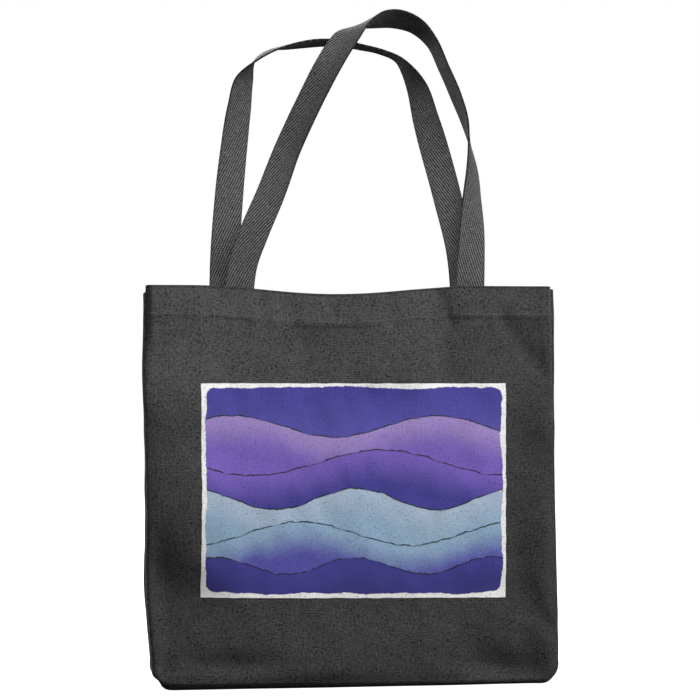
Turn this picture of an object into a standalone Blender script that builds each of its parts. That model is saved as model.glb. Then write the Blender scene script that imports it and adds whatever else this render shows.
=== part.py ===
"""Canvas tote bag with a boxed base and two webbing handles, standing upright.

Units are metres, +Z is up and the printed front faces -Y. The origin is on the
ground under the middle of the bag. Every piece of cloth is one shaped sheet that a
Solidify modifier gives its thickness, and pieces that touch keep a small gap.
"""

import math

import bmesh
import bpy
import numpy as np

MM = 0.001

# Driving dimensions of the bag.
HEIGHT = 370 * MM
PANEL_HALF_WIDTH = 188.5 * MM
BASE_HALF_DEPTH = 30 * MM
MOUTH_HALF_DEPTH = 23 * MM
BELLY = 4 * MM
CORNER_RADIUS = 17 * MM
CANVAS = 1.2 * MM
GAP = 0.3 * MM
RIM_CLEARANCE = 0.7 * MM

# How far the gusset strip stands outside the panels' outline, and how it is rounded.
SIDE_PROUD = 3.5 * MM
SIDE_ROUND = 6 * MM
SEAM_HEIGHT = 9 * MM
BASE_ROUND = 9 * MM

# The soft lean of the body, and the sag of the mouth between the handles.
LEAN = 5.2 * MM
LEAN_POWER = 1.5
LEAN_OFFSET = 2.4 * MM
SAG = 8 * MM
SAG_CENTRE = -14 * MM
SAG_HALF_SPAN = 135 * MM
GUSSET_DIP = 5 * MM

# The hem, the print and the webbing.
HEM_DEPTH = 27 * MM
HEM_END_CLEARANCE = 3.5 * MM
PRINT_WIDTH = 284 * MM
PRINT_HEIGHT = 198 * MM
PRINT_CENTRE_X = -3 * MM
PRINT_BASE_Z = 83 * MM
PRINT_FILM = 0.3 * MM
STRAP_WIDTH = 27 * MM
STRAP_THICKNESS = 1.8 * MM

# Mesh fineness.
PANEL_COLUMNS = 19
PANEL_ROWS = 13
CORNER_STEPS = 4
BASE_COLUMNS = 9
SIDE_ROWS = 10
ROUND_STEPS = 3
FLAT_STEPS = 3
HEM_ROWS = 2
PRINT_COLUMNS = 10
PRINT_ROWS = 7
STRAP_STEPS = 64
STRAP_COLUMNS = 2

# The handles' middle lines from foot to foot: x, y, z in millimetres, and the turn of
# the webbing in degrees. At 0 it lies flat to the front; at 90 its inner edge points
# forwards, and at -90 backwards.
FRONT_HANDLE = (
    (-107.5, -19.7, 341, 0), (-107.5, -19.7, 368, 0), (-104, -19.7, 390, 4),
    (-94.5, -19.7, 417, 12), (-79.5, -19, 454, 19), (-63, -18.5, 495, 26),
    (-42, -18.5, 539, 34), (-24.5, -19.5, 574, 24), (-9.5, -16.5, 598, 36),
    (4, -9, 611.5, 78), (20.5, -1, 618.5, 112), (39, 4, 620, 122),
    (57, 5.5, 613.5, 114), (71.5, 5, 599, 102), (84.5, 2.5, 574.5, 99),
    (96.5, -0.5, 547, 98), (104.5, -3, 525, 94), (108, -6.5, 500, 82),
    (109, -11, 474.5, 62), (109, -14.5, 450.5, 42), (108.5, -18.5, 411, 15),
    (107, -19.7, 368, 0), (107, -19.7, 341, 0),
)
BACK_HANDLE = (
    (-118.5, 19.7, 341, 0), (-118.5, 19.7, 369, 0), (-118, 19.7, 411, 0),
    (-115.5, 19, 445, -6), (-111, 17, 492, -18), (-105, 14, 536.5, -32),
    (-100.5, 11, 561.5, -50), (-90.5, 7.5, 579.5, -92), (-77, 5, 588.5, -98),
    (-59, 4, 593, -88), (-40, 3.5, 595.5, -83), (-16.5, 3.5, 595.5, -85),
    (6.5, 4, 593, -88), (28.5, 6, 589.5, -90), (46.5, 9.5, 581.5, -76),
    (62, 13, 558.5, -46), (72.5, 15, 527, -26), (80.5, 17, 499, -12),
    (93, 19, 451, -2), (104.5, 19.7, 398.5, 0), (109, 19.7, 369.5, 0),
    (109, 19.7, 341, 0),
)

COLLECTION = "canvas_tote_bag"
FINISHES = {
    "canvas": ((0.055, 0.055, 0.056, 1), 0.92),
    "hem_facing": ((0.050, 0.050, 0.051, 1), 0.92),
    "webbing": ((0.085, 0.085, 0.086, 1), 0.85),
    "print_ink": ((0.29, 0.27, 0.50, 1), 0.80),
}


def clear_scene():
    """Remove every object that the file already holds."""
    for thing in list(bpy.data.objects):
        bpy.data.objects.remove(thing, do_unlink=True)


def finish(name):
    """A plain material with the named finish's colour and roughness."""
    colour, roughness = FINISHES[name]
    material = bpy.data.materials.new(name)
    material.use_nodes = True
    shader = material.node_tree.nodes["Principled BSDF"]
    shader.inputs["Base Color"].default_value = colour
    shader.inputs["Roughness"].default_value = roughness
    shader.inputs["Metallic"].default_value = 0.0
    return material


def lean(z):
    """How far the soft body has slid sideways at height z."""
    return LEAN * max(0.0, 1 - z / HEIGHT) ** LEAN_POWER - LEAN_OFFSET


def half_depth(z):
    """Half of the bag's depth at its seams, at height z."""
    return BASE_HALF_DEPTH + (MOUTH_HALF_DEPTH - BASE_HALF_DEPTH) * z / HEIGHT


def half_width(z):
    """Half of a panel's width at height z, drawn in round the bottom corners."""
    rise = z - SEAM_HEIGHT
    if rise >= CORNER_RADIUS:
        return PANEL_HALF_WIDTH
    drawn_in = math.sqrt(max(0.0, CORNER_RADIUS**2 - (CORNER_RADIUS - rise) ** 2))
    return PANEL_HALF_WIDTH - CORNER_RADIUS + drawn_in


def mouth_height(x):
    """The height of a panel's top edge, which sags between the handles."""
    reach = (x - SAG_CENTRE) / SAG_HALF_SPAN
    if abs(reach) >= 1:
        return HEIGHT
    return HEIGHT - SAG * math.cos(reach * math.pi / 2) ** 2


def panel_depth(share, z):
    """Depth of a panel's middle surface: its seam depth and a soft belly."""
    swell = (1 - share**2) * math.sin(math.pi * min(z / HEIGHT, 1.0)) ** 0.8
    return half_depth(z) + BELLY * swell


def panel_point(side, share, z, inset=0.0):
    """A point of a panel; share runs from -1 to 1 across it, side is -1 in front."""
    x = share * half_width(z)
    return x + lean(z), side * (panel_depth(share, z) - inset), z


def rows_of_panel():
    """Shares of a panel's height: close together round the bottom corners."""
    corner = [1 - math.cos(math.pi / 2 * k / CORNER_STEPS) for k in range(CORNER_STEPS)]
    heights = [CORNER_RADIUS * share for share in corner]
    upright = HEIGHT - SEAM_HEIGHT - CORNER_RADIUS
    count = PANEL_ROWS - CORNER_STEPS
    heights += [CORNER_RADIUS + upright * k / count for k in range(count + 1)]
    return heights


def sheet(name, columns, rows, place, thickness, material, collection):
    """A grid whose corners place(column, row) moves, made solid to a thickness."""
    mesh = bpy.data.meshes.new(name)
    form = bmesh.new()
    bmesh.ops.create_grid(form, x_segments=columns, y_segments=rows, size=1.0)
    for corner in form.verts:
        column = round((corner.co.x + 1) / 2 * columns)
        row = round((corner.co.y + 1) / 2 * rows)
        corner.co = place(column, row)
    form.to_mesh(mesh)
    form.free()
    thing = bpy.data.objects.new(name, mesh)
    collection.objects.link(thing)
    thing.data.materials.append(material)
    wall = thing.modifiers.new("thickness", "SOLIDIFY")
    wall.thickness = thickness
    wall.offset = 0.0
    wall.use_even_offset = True
    return thing


def make_panel(name, side, material, collection):
    """The front or back panel, from its bottom seam up to the sagging mouth."""
    heights = rows_of_panel()

    def place(column, row):
        share = 2 * column / PANEL_COLUMNS - 1
        top = mouth_height(share * PANEL_HALF_WIDTH)
        stretch = (top - SEAM_HEIGHT) / (HEIGHT - SEAM_HEIGHT)
        rise = heights[row]
        if rise > CORNER_RADIUS:
            rise = CORNER_RADIUS + (rise - CORNER_RADIUS) * stretch
        return panel_point(side, share, SEAM_HEIGHT + rise)

    return sheet(name, PANEL_COLUMNS, PANEL_ROWS, place, CANVAS, material, collection)


def section(step, depth, share):
    """A point across the gusset strip: how far out of the outline, and its y.

    share is 0 on the upright sides and 1 under the base.
    """
    proud = SIDE_PROUD - CANVAS / 2
    drop = proud + (SEAM_HEIGHT - CANVAS / 2 - proud) * share
    bend = SIDE_ROUND + (BASE_ROUND - SIDE_ROUND) * share
    flat = depth - bend
    last = 2 * ROUND_STEPS + FLAT_STEPS
    mirrored = step > last / 2
    near = last - step if mirrored else step
    if near < ROUND_STEPS:
        angle = math.pi / 2 * near / ROUND_STEPS
        out = RIM_CLEARANCE + (drop - RIM_CLEARANCE) * math.sin(angle)
        y = -(flat + bend * math.cos(angle))
    else:
        out = drop
        y = -flat * (1 - 2 * (near - ROUND_STEPS) / FLAT_STEPS)
    return out, -y if mirrored else y


def make_side_gusset(name, side, material, collection):
    """One upright side of the gusset strip; its mouth dips between the panels."""
    foot = SEAM_HEIGHT + CORNER_RADIUS + GAP

    def place(column, row):
        step = column if side < 0 else 2 * ROUND_STEPS + FLAT_STEPS - column
        across = section(step, MOUTH_HALF_DEPTH, 0.0)[1] / MOUTH_HALF_DEPTH
        top = HEIGHT - GUSSET_DIP * (1 - across**2)
        z = foot + (top - foot) * row / SIDE_ROWS
        out, y = section(step, half_depth(z), 0.0)
        return side * (PANEL_HALF_WIDTH + out) + lean(z), y, z

    columns = 2 * ROUND_STEPS + FLAT_STEPS
    return sheet(name, columns, SIDE_ROWS, place, CANVAS, material, collection)


def base_outline():
    """The panels' outline under the bag: x, z, outward x, outward z, base share."""
    points = []
    centre_x = PANEL_HALF_WIDTH - CORNER_RADIUS
    centre_z = SEAM_HEIGHT + CORNER_RADIUS
    for k in range(CORNER_STEPS + 1):
        angle = math.pi / 2 * k / CORNER_STEPS
        out_x = -math.cos(angle)
        out_z = -math.sin(angle)
        x = -centre_x + CORNER_RADIUS * out_x
        z = centre_z + CORNER_RADIUS * out_z
        points.append((x, z, out_x, out_z, math.sin(angle) ** 2))
    for k in range(1, BASE_COLUMNS):
        x = centre_x * (2 * k / BASE_COLUMNS - 1)
        points.append((x, SEAM_HEIGHT, 0.0, -1.0, 1.0))
    mirrored = [(-x, z, -out_x, out_z, share) for x, z, out_x, out_z, share in points]
    return points + mirrored[CORNER_STEPS::-1]


def make_base_gusset(name, material, collection):
    """The gusset strip under the bag and round both bottom corners."""
    outline = base_outline()

    def place(column, row):
        x, z, out_x, out_z, share = outline[row]
        out, y = section(column, half_depth(z), share)
        low = z + out * out_z
        return x + out * out_x + lean(low), y, low

    columns = 2 * ROUND_STEPS + FLAT_STEPS
    return sheet(name, columns, len(outline) - 1, place, CANVAS, material, collection)


def make_panel_hem(name, side, material, collection):
    """The turned-in hem behind a panel's top edge."""
    inset = CANVAS + GAP
    reach = (PANEL_HALF_WIDTH - HEM_END_CLEARANCE) / PANEL_HALF_WIDTH

    def place(column, row):
        share = (2 * column / PANEL_COLUMNS - 1) * reach
        top = mouth_height(share * PANEL_HALF_WIDTH)
        return panel_point(side, share, top - HEM_DEPTH * (1 - row / HEM_ROWS), inset)

    return sheet(name, PANEL_COLUMNS, HEM_ROWS, place, CANVAS, material, collection)


def make_side_hem(name, side, material, collection):
    """The turned-in hem inside the gusset's flat upright part."""
    out = SIDE_PROUD - CANVAS / 2 - CANVAS - GAP

    def place(column, row):
        reach = 2 * column / FLAT_STEPS - 1
        flat = (MOUTH_HALF_DEPTH - SIDE_ROUND) / MOUTH_HALF_DEPTH
        top = HEIGHT - GUSSET_DIP * (1 - (reach * flat) ** 2)
        z = top - HEM_DEPTH * (1 - row / HEM_ROWS)
        y = reach * (half_depth(z) - SIDE_ROUND)
        return side * (PANEL_HALF_WIDTH + out) + lean(z), y, z

    return sheet(name, FLAT_STEPS, HEM_ROWS, place, CANVAS, material, collection)


def make_print(name, material, collection):
    """The thin film of ink on the front panel."""
    inset = -(CANVAS / 2 + GAP + PRINT_FILM / 2)

    def place(column, row):
        z = PRINT_BASE_Z + PRINT_HEIGHT * row / PRINT_ROWS
        x = PRINT_CENTRE_X + PRINT_WIDTH * (column / PRINT_COLUMNS - 0.5)
        share = (x - lean(z)) / half_width(z)
        return panel_point(-1, share, z, inset)

    return sheet(
        name, PRINT_COLUMNS, PRINT_ROWS, place, PRINT_FILM, material, collection
    )


def smooth_path(stations, count):
    """Evenly spaced samples of a smooth curve through the stations."""
    points = np.array(stations, dtype=float)
    legs = np.linalg.norm(np.diff(points[:, :3], axis=0), axis=1)
    at = np.concatenate(([0.0], np.cumsum(legs)))
    slopes = np.diff(points, axis=0) / legs[:, None]
    tangents = np.empty_like(points)
    tangents[0] = slopes[0]
    tangents[-1] = slopes[-1]
    before = legs[:-1, None]
    after = legs[1:, None]
    tangents[1:-1] = (slopes[1:] * before + slopes[:-1] * after) / (before + after)
    wanted = np.linspace(0.0, at[-1], count)
    leg = np.clip(np.searchsorted(at, wanted, side="right") - 1, 0, len(legs) - 1)
    length = legs[leg][:, None]
    t = (wanted - at[leg])[:, None] / length
    start = (2 * t**3 - 3 * t**2 + 1) * points[leg]
    end = (3 * t**2 - 2 * t**3) * points[leg + 1]
    leave = (t**3 - 2 * t**2 + t) * length * tangents[leg]
    arrive = (t**3 - t**2) * length * tangents[leg + 1]
    return start + end + leave + arrive


def make_handle(name, stations, material, collection):
    """One length of webbing that follows its stations and turns as they say."""
    path = smooth_path(stations, STRAP_STEPS + 1)
    middle = path[:, :3] * MM
    turn = np.radians(path[:, 3])[:, None]
    along = np.gradient(middle, axis=0)
    along /= np.linalg.norm(along, axis=1)[:, None]
    inward = np.cross(along, (0.0, -1.0, 0.0))
    inward /= np.linalg.norm(inward, axis=1)[:, None]
    forward = np.cross(inward, along)
    across = np.cos(turn) * inward + np.sin(turn) * forward

    def place(column, row):
        reach = STRAP_WIDTH * (column / STRAP_COLUMNS - 0.5)
        return tuple(middle[row] + reach * across[row])

    return sheet(
        name, STRAP_COLUMNS, STRAP_STEPS, place, STRAP_THICKNESS, material, collection
    )


def build():
    """Make the whole bag in its own collection."""
    clear_scene()
    bag = bpy.data.collections.new(COLLECTION)
    bpy.context.scene.collection.children.link(bag)
    make_panel("front_panel", -1, finish("canvas"), bag)
    make_panel("back_panel", 1, finish("canvas"), bag)
    make_side_gusset("gusset_left", -1, finish("canvas"), bag)
    make_side_gusset("gusset_right", 1, finish("canvas"), bag)
    make_base_gusset("gusset_base", finish("canvas"), bag)
    make_panel_hem("hem_front", -1, finish("hem_facing"), bag)
    make_panel_hem("hem_back", 1, finish("hem_facing"), bag)
    make_side_hem("hem_left", -1, finish("hem_facing"), bag)
    make_side_hem("hem_right", 1, finish("hem_facing"), bag)
    make_print("print_panel", finish("print_ink"), bag)
    make_handle("handle_front", FRONT_HANDLE, finish("webbing"), bag)
    make_handle("handle_back", BACK_HANDLE, finish("webbing"), bag)


build()
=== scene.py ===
"""Looks of a canvas tote bag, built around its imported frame.

The bag is sewn from flat cuts: two panels whose tops turn in as hems, one gusset strip
that runs down one side, under the base and up the other, and two lengths of webbing.
Everything is in metres in the frame's own axes: +Z is up and the printed front faces -Y.
A place on a panel is written (x, z): sideways from the bag's middle, and up.
"""

import logging
import math
from dataclasses import dataclass
from enum import Enum
from functools import partialmethod
from typing import NamedTuple

import bpy
import numpy as np
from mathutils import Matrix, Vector


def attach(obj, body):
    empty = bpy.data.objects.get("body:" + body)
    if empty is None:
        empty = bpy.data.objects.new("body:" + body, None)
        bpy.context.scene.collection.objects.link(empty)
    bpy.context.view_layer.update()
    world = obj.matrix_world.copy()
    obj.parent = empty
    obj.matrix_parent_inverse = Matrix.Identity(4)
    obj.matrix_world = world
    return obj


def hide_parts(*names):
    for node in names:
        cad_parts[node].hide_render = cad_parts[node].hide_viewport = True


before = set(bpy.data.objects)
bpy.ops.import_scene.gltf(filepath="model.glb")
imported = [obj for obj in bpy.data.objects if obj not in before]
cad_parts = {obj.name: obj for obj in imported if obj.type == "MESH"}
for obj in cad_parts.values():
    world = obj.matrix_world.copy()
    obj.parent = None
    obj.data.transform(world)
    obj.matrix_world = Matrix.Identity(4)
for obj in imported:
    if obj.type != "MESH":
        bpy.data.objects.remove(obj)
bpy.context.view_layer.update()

log = logging.getLogger("canvas_tote_bag")

MM = 0.001
BODY = "root"
# A mesh mark that pales the colour: wear, and painted highlight where light falls.
WEAR_AND_HIGHLIGHT = "wear_and_highlight"
# A mesh mark that scales the colour: mostly painted shade, with some plain tone.
TONE_AND_PAINTED_SHADE = "fading"

Place = tuple[float, float]
Colour = tuple[float, float, float, float]
Array = np.ndarray
Socket = bpy.types.NodeSocket


class Side(Enum):
    """The bag's two faces; the value is the sign of the face's Y."""

    FRONT = -1
    BACK = 1


class Slot(Enum):
    """The record's material slots."""

    CANVAS = "canvas"
    HEM = "hem_facing"
    PRINT = "print_ink"
    WEBBING = "webbing"


# ---------------------------------------------------------------- mesh helpers


def ease(share: Array) -> Array:
    """A soft step: 0 below 0, 1 above 1."""
    held = np.clip(share, 0.0, 1.0)
    return held * held * (3.0 - 2.0 * held)


def blend(first: Array | float, second: Array | float, share: Array) -> Array:
    """From the first value to the second as the share goes from 0 to 1."""
    return first + (second - first) * share


class Bell(NamedTuple):
    """A rounded ridge over one measure."""

    height: float
    middle: float
    reach: float

    def at(self, value: Array) -> Array:
        """Its height at this value of the measure."""
        return self.height * np.exp(-(((value - self.middle) / self.reach) ** 2))


class Slope(NamedTuple):
    """A soft step over one measure, from its low level to its high one."""

    start: float
    span: float
    low: float = 0.0
    high: float = 1.0

    def at(self, value: Array) -> Array:
        """Its level at this value of the measure."""
        return blend(self.low, self.high, ease((value - self.start) / self.span))


def soft_noise(x: Array, z: Array, wave: float, seed: int) -> Array:
    """Smooth, repeatable unevenness.

    Args:
        x: Sideways places.
        z: Upward places.
        wave: The usual distance from crest to crest.
        seed: Chooses one pattern.

    Returns:
        Heights, mostly between -1 and 1.
    """
    chance = np.random.default_rng(seed)
    waves = 9
    total = np.zeros(np.broadcast(x, z).shape)
    for _ in range(waves):
        angle = chance.uniform(0.0, math.pi)
        length = wave * chance.uniform(0.7, 1.6)
        along = x * math.cos(angle) + z * math.sin(angle)
        total += np.sin(math.tau * along / length + chance.uniform(0.0, math.tau))
    return total / math.sqrt(waves)


def graded(length: float, coarse: float, fine: float, reach: float, both: bool) -> Array:
    """Stations along a cut that stand closer together near its edges.

    Args:
        length: The whole length.
        coarse: Spacing in the middle.
        fine: Spacing at the edges.
        reach: How far from an edge the spacing has grown.
        both: Whether the far end is an edge too.

    Returns:
        Rising stations from 0 to length.
    """
    trial = np.linspace(0.0, length, 2000)
    off = np.minimum(trial, length - trial) if both else trial
    spacing = fine + (coarse - fine) * ease(off / reach)
    count = np.concatenate(([0.0], np.cumsum(np.diff(trial) / spacing[1:])))
    steps = math.ceil(count[-1])
    return np.interp(np.linspace(0.0, count[-1], steps + 1), count, trial)


def activate(piece: bpy.types.Object) -> None:
    """Select one piece alone and make it the active one."""
    bpy.ops.object.select_all(action="DESELECT")
    piece.select_set(True)
    bpy.context.view_layer.objects.active = piece


def shaped_grid(
    name: str, places: Array, cut: Array, wear_and_highlight: Array, fading: Array | float = 1.0
) -> bpy.types.Object:
    """A grid of cloth moved to its shape.

    Args:
        name: The piece's name.
        places: Where each crossing goes, as rows x columns x 3.
        cut: Where it lies on the flat cut, as rows x columns x 2, in metres.
        wear_and_highlight: How rubbed it is, with painted highlight, as rows x columns, from 0 to 1.
        fading: How light or dark its colour is painted beside the rest, mostly as painted shade, as rows
            x columns; 1 is usual.

    Returns:
        The thin sheet, with its UV map in metres of cloth.
    """
    rows, columns = places.shape[:2]
    bpy.ops.object.select_all(action="DESELECT")
    bpy.ops.mesh.primitive_grid_add(
        x_subdivisions=columns - 1, y_subdivisions=rows - 1, size=2.0, calc_uvs=True
    )
    sheet = bpy.context.active_object
    sheet.name = name
    sheet.data.name = name
    mesh = sheet.data
    flat = np.empty(len(mesh.vertices) * 3)
    mesh.vertices.foreach_get("co", flat)
    flat = flat.reshape(-1, 3)
    column = np.rint((flat[:, 0] + 1.0) / 2.0 * (columns - 1)).astype(int)
    row = np.rint((flat[:, 1] + 1.0) / 2.0 * (rows - 1)).astype(int)
    mesh.vertices.foreach_set("co", places[row, column].ravel())
    corner = np.empty(len(mesh.loops), dtype=int)
    mesh.loops.foreach_get("vertex_index", corner)
    mesh.uv_layers.active.data.foreach_set("uv", cut[row, column][corner].ravel())
    for label, marks in ((WEAR_AND_HIGHLIGHT, wear_and_highlight), (TONE_AND_PAINTED_SHADE, fading)):
        spread = np.broadcast_to(marks, places.shape[:2])
        attribute = mesh.attributes.new(label, "FLOAT", "POINT")
        attribute.data.foreach_set("value", spread[row, column].astype(np.float32))
    mesh.update()
    return sheet


def thicken(sheet: bpy.types.Object, thickness: float, rounding: float = 0.0) -> None:
    """Give a sheet its thickness about its middle, with rounded rims if asked."""
    activate(sheet)
    wall = sheet.modifiers.new("thickness", "SOLIDIFY")
    wall.thickness = thickness
    wall.offset = 0.0
    wall.use_even_offset = True
    bpy.ops.object.modifier_apply(modifier=wall.name)
    if rounding:
        rim = sheet.modifiers.new("rim", "BEVEL")
        rim.width = rounding
        rim.segments = 2
        rim.limit_method = "ANGLE"
        rim.angle_limit = math.radians(50)
        bpy.ops.object.modifier_apply(modifier=rim.name)
    bpy.ops.object.shade_smooth_by_angle(angle=math.radians(50))


def settle(piece: bpy.types.Object, slot: Slot, finish: bpy.types.Material, *nodes: str) -> None:
    """Dress a finished piece, hang it on the frame and report it.

    Args:
        piece: The finished mesh, in place.
        slot: The record's slot that its finish belongs to; not used.
        finish: Its material.
        nodes: The CAD nodes that it stands for.
    """
    piece.data.materials.clear()
    piece.data.materials.append(finish)
    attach(piece, BODY)
    if nodes:
        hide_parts(*nodes)
    low = np.array([corner[:] for corner in piece.bound_box]).min(0) / MM
    high = np.array([corner[:] for corner in piece.bound_box]).max(0) / MM
    faces = len(piece.data.polygons)
    log.info("%-22s %6d faces, %s to %s mm", piece.name, faces, low.round(1), high.round(1))


# ---------------------------------------------------------------- the bag's shape


@dataclass(frozen=True)
class Crease:
    """One furrow or fold across a panel, with its sizes in millimetres.

    left and right are its widths towards -X and +X, so a fold can be steep on one side.
    An end with a fade of 0 runs on past the cloth's edge.
    """

    start: Place
    end: Place
    rise: float
    left: float
    right: float
    bow: float = 0.0
    fade_in: float = 0.3
    fade_out: float = 0.3

    def height(self, x: Array, z: Array) -> Array:
        """How far the cloth stands out here, in metres."""
        begin = np.array(self.start) * MM
        run = np.array(self.end) * MM - begin
        length = float(np.hypot(*run))
        along_x, along_z = run / length
        out_x, out_z = (-along_z, along_x) if along_z < 0 else (along_z, -along_x)
        share = ((x - begin[0]) * along_x + (z - begin[1]) * along_z) / length
        held = np.clip(share, 0.0, 1.0)
        off = (x - begin[0]) * out_x + (z - begin[1]) * out_z
        off = off - self.bow * MM * 4.0 * held * (1.0 - held)
        width = np.where(off > 0.0, self.right, self.left) * MM
        body = np.exp(-((off / width) ** 2))
        if self.fade_in:
            body = body * ease(share / self.fade_in)
        if self.fade_out:
            body = body * ease((1.0 - share) / self.fade_out)
        return self.rise * MM * body


@dataclass(frozen=True)
class Swell:
    """One soft rise or hollow in a panel, with its sizes in millimetres."""

    centre: Place
    rise: float
    wide: float
    tall: float

    def height(self, x: Array, z: Array) -> Array:
        """How far the cloth stands out here, in metres."""
        across = (x / MM - self.centre[0]) / self.wide
        up = (z / MM - self.centre[1]) / self.tall
        return self.rise * MM * np.exp(-(across**2) - up**2)


@dataclass(frozen=True)
class BagShape:
    """The soft outline that all the cloth follows."""

    height: float = 370 * MM
    half_width: float = 188.5 * MM
    base_half_depth: float = 30 * MM
    mouth_half_depth: float = 23 * MM
    belly: float = 4 * MM
    corner: float = 17 * MM
    canvas: float = 1.2 * MM
    seam_height: float = 4.7 * MM
    seam_tilt: float = 0.9 * MM
    lean: float = 5.2 * MM
    lean_power: float = 1.5
    lean_offset: float = 2.4 * MM
    twist: float = 3.7 * MM
    mouth_taper: float = 0.8 * MM
    sag: float = 8 * MM
    sag_centre: float = -14 * MM
    sag_half_span: float = 135 * MM
    hem_depth: float = 28 * MM
    stitch_drop: float = 26.2 * MM
    fold_radius: float = 0.75 * MM
    left_flare: float = 2.4 * MM
    # How far each side stands out, as heights and amounts in millimetres.
    left_bulges: tuple[Place, ...] = (
        (0, 0.9), (10, 0.2), (24, -1.2), (42, -0.1), (60, 1.2), (78, 2.6), (100, 2.9), (120, 2.7),
        (138, 1.4), (160, 0.9), (246, 1.0), (264, 2.0), (300, 2.0), (318, 1.6), (340, 1.4),
        (354, 0.9), (370, 0.8),
    )
    right_bulges: tuple[Place, ...] = (
        (0, -1.2), (10, -2.3), (24, -3.1), (42, -2.7), (175, -2.5), (210, -2.1), (246, -1.3),
        (264, -0.8), (290, -0.2), (310, 0.2), (340, 0.3), (370, 0),
    )

    def drift(self, z: Array, y: Array) -> Array:
        """How far the standing bag has slid sideways: a lean, and a twist of its front."""
        sunk = np.clip(1.0 - z / self.height, 0.0, 1.0)
        front = np.clip(-y / self.mouth_half_depth, 0.0, 1.0) ** 4
        turned = self.twist * np.clip(z / self.height, 0.0, 1.0) ** 3 * front
        return self.lean * sunk**self.lean_power - self.lean_offset - turned

    def bulge(self, x: Array, z: Array, y: Array) -> Array:
        """How far the sides have sunk in or bulged out, which fades away from them."""
        far = np.clip(np.abs(x) / self.half_width, 0.0, 1.05) ** 8
        sides = (self.left_bulges, self.right_bulges)
        left, right = (np.interp(z / MM, *np.array(side).T) * MM for side in sides)
        front = np.clip(-y / self.base_half_depth, 0.0, 1.0)
        left = left + self.left_flare * front * (1.0 - np.clip(z / self.height, 0.0, 1.0) ** 3)
        return np.where(x < 0, -left, right) * far

    def between(self, x: Array, left: float, right: float) -> Array:
        """A size that goes softly from its left value to its right one."""
        return blend(left, right, ease(x / self.half_width + 0.5))

    def seam_depth(self, z: Array) -> Array:
        """Half of the depth at the seams, before any fold."""
        taper = self.mouth_half_depth - self.base_half_depth
        return self.base_half_depth + taper * z / self.height

    def seam_line(self, x: Array) -> Array:
        """The height of the bottom seam, which drops a little to the right."""
        return self.seam_height - self.seam_tilt * x / self.half_width

    def reach(self, above_seam: Array) -> Array:
        """Half of a panel's width, drawn in round the bottom corners and a little at the mouth."""
        low = np.clip(self.corner - above_seam, 0.0, self.corner)
        taper = self.mouth_taper * np.clip(above_seam / self.height, 0.0, 1.0) ** 2
        return self.half_width - taper - self.corner + np.sqrt(self.corner**2 - low**2)

    def mouth(self, x: Array) -> Array:
        """The height of a panel's top edge, which sags between the handles."""
        share = np.clip((x - self.sag_centre) / self.sag_half_span, -1.0, 1.0)
        return self.height - self.sag * np.cos(share * math.pi / 2) ** 2

    def swell(self, x: Array, z: Array) -> Array:
        """How far a panel bellies out past its seams."""
        lift = np.sin(math.pi * np.clip(z / self.height, 0.0, 1.0)) ** 0.8
        return self.belly * np.clip(1.0 - (x / self.half_width) ** 2, 0.0, 1.0) * lift

    def from_seam(self, x: Array, z: Array) -> Array:
        """How far a place is inside its panel's U-shaped seam; 0 past it."""
        rise = z - self.seam_line(x)
        past_x = np.abs(x) - (self.half_width - self.corner)
        past_z = self.corner - rise
        straight = np.minimum(self.half_width - np.abs(x), rise)
        rounded = self.corner - np.hypot(past_x, past_z)
        return np.clip(np.where((past_x > 0) & (past_z > 0), rounded, straight), 0.0, None)


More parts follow.
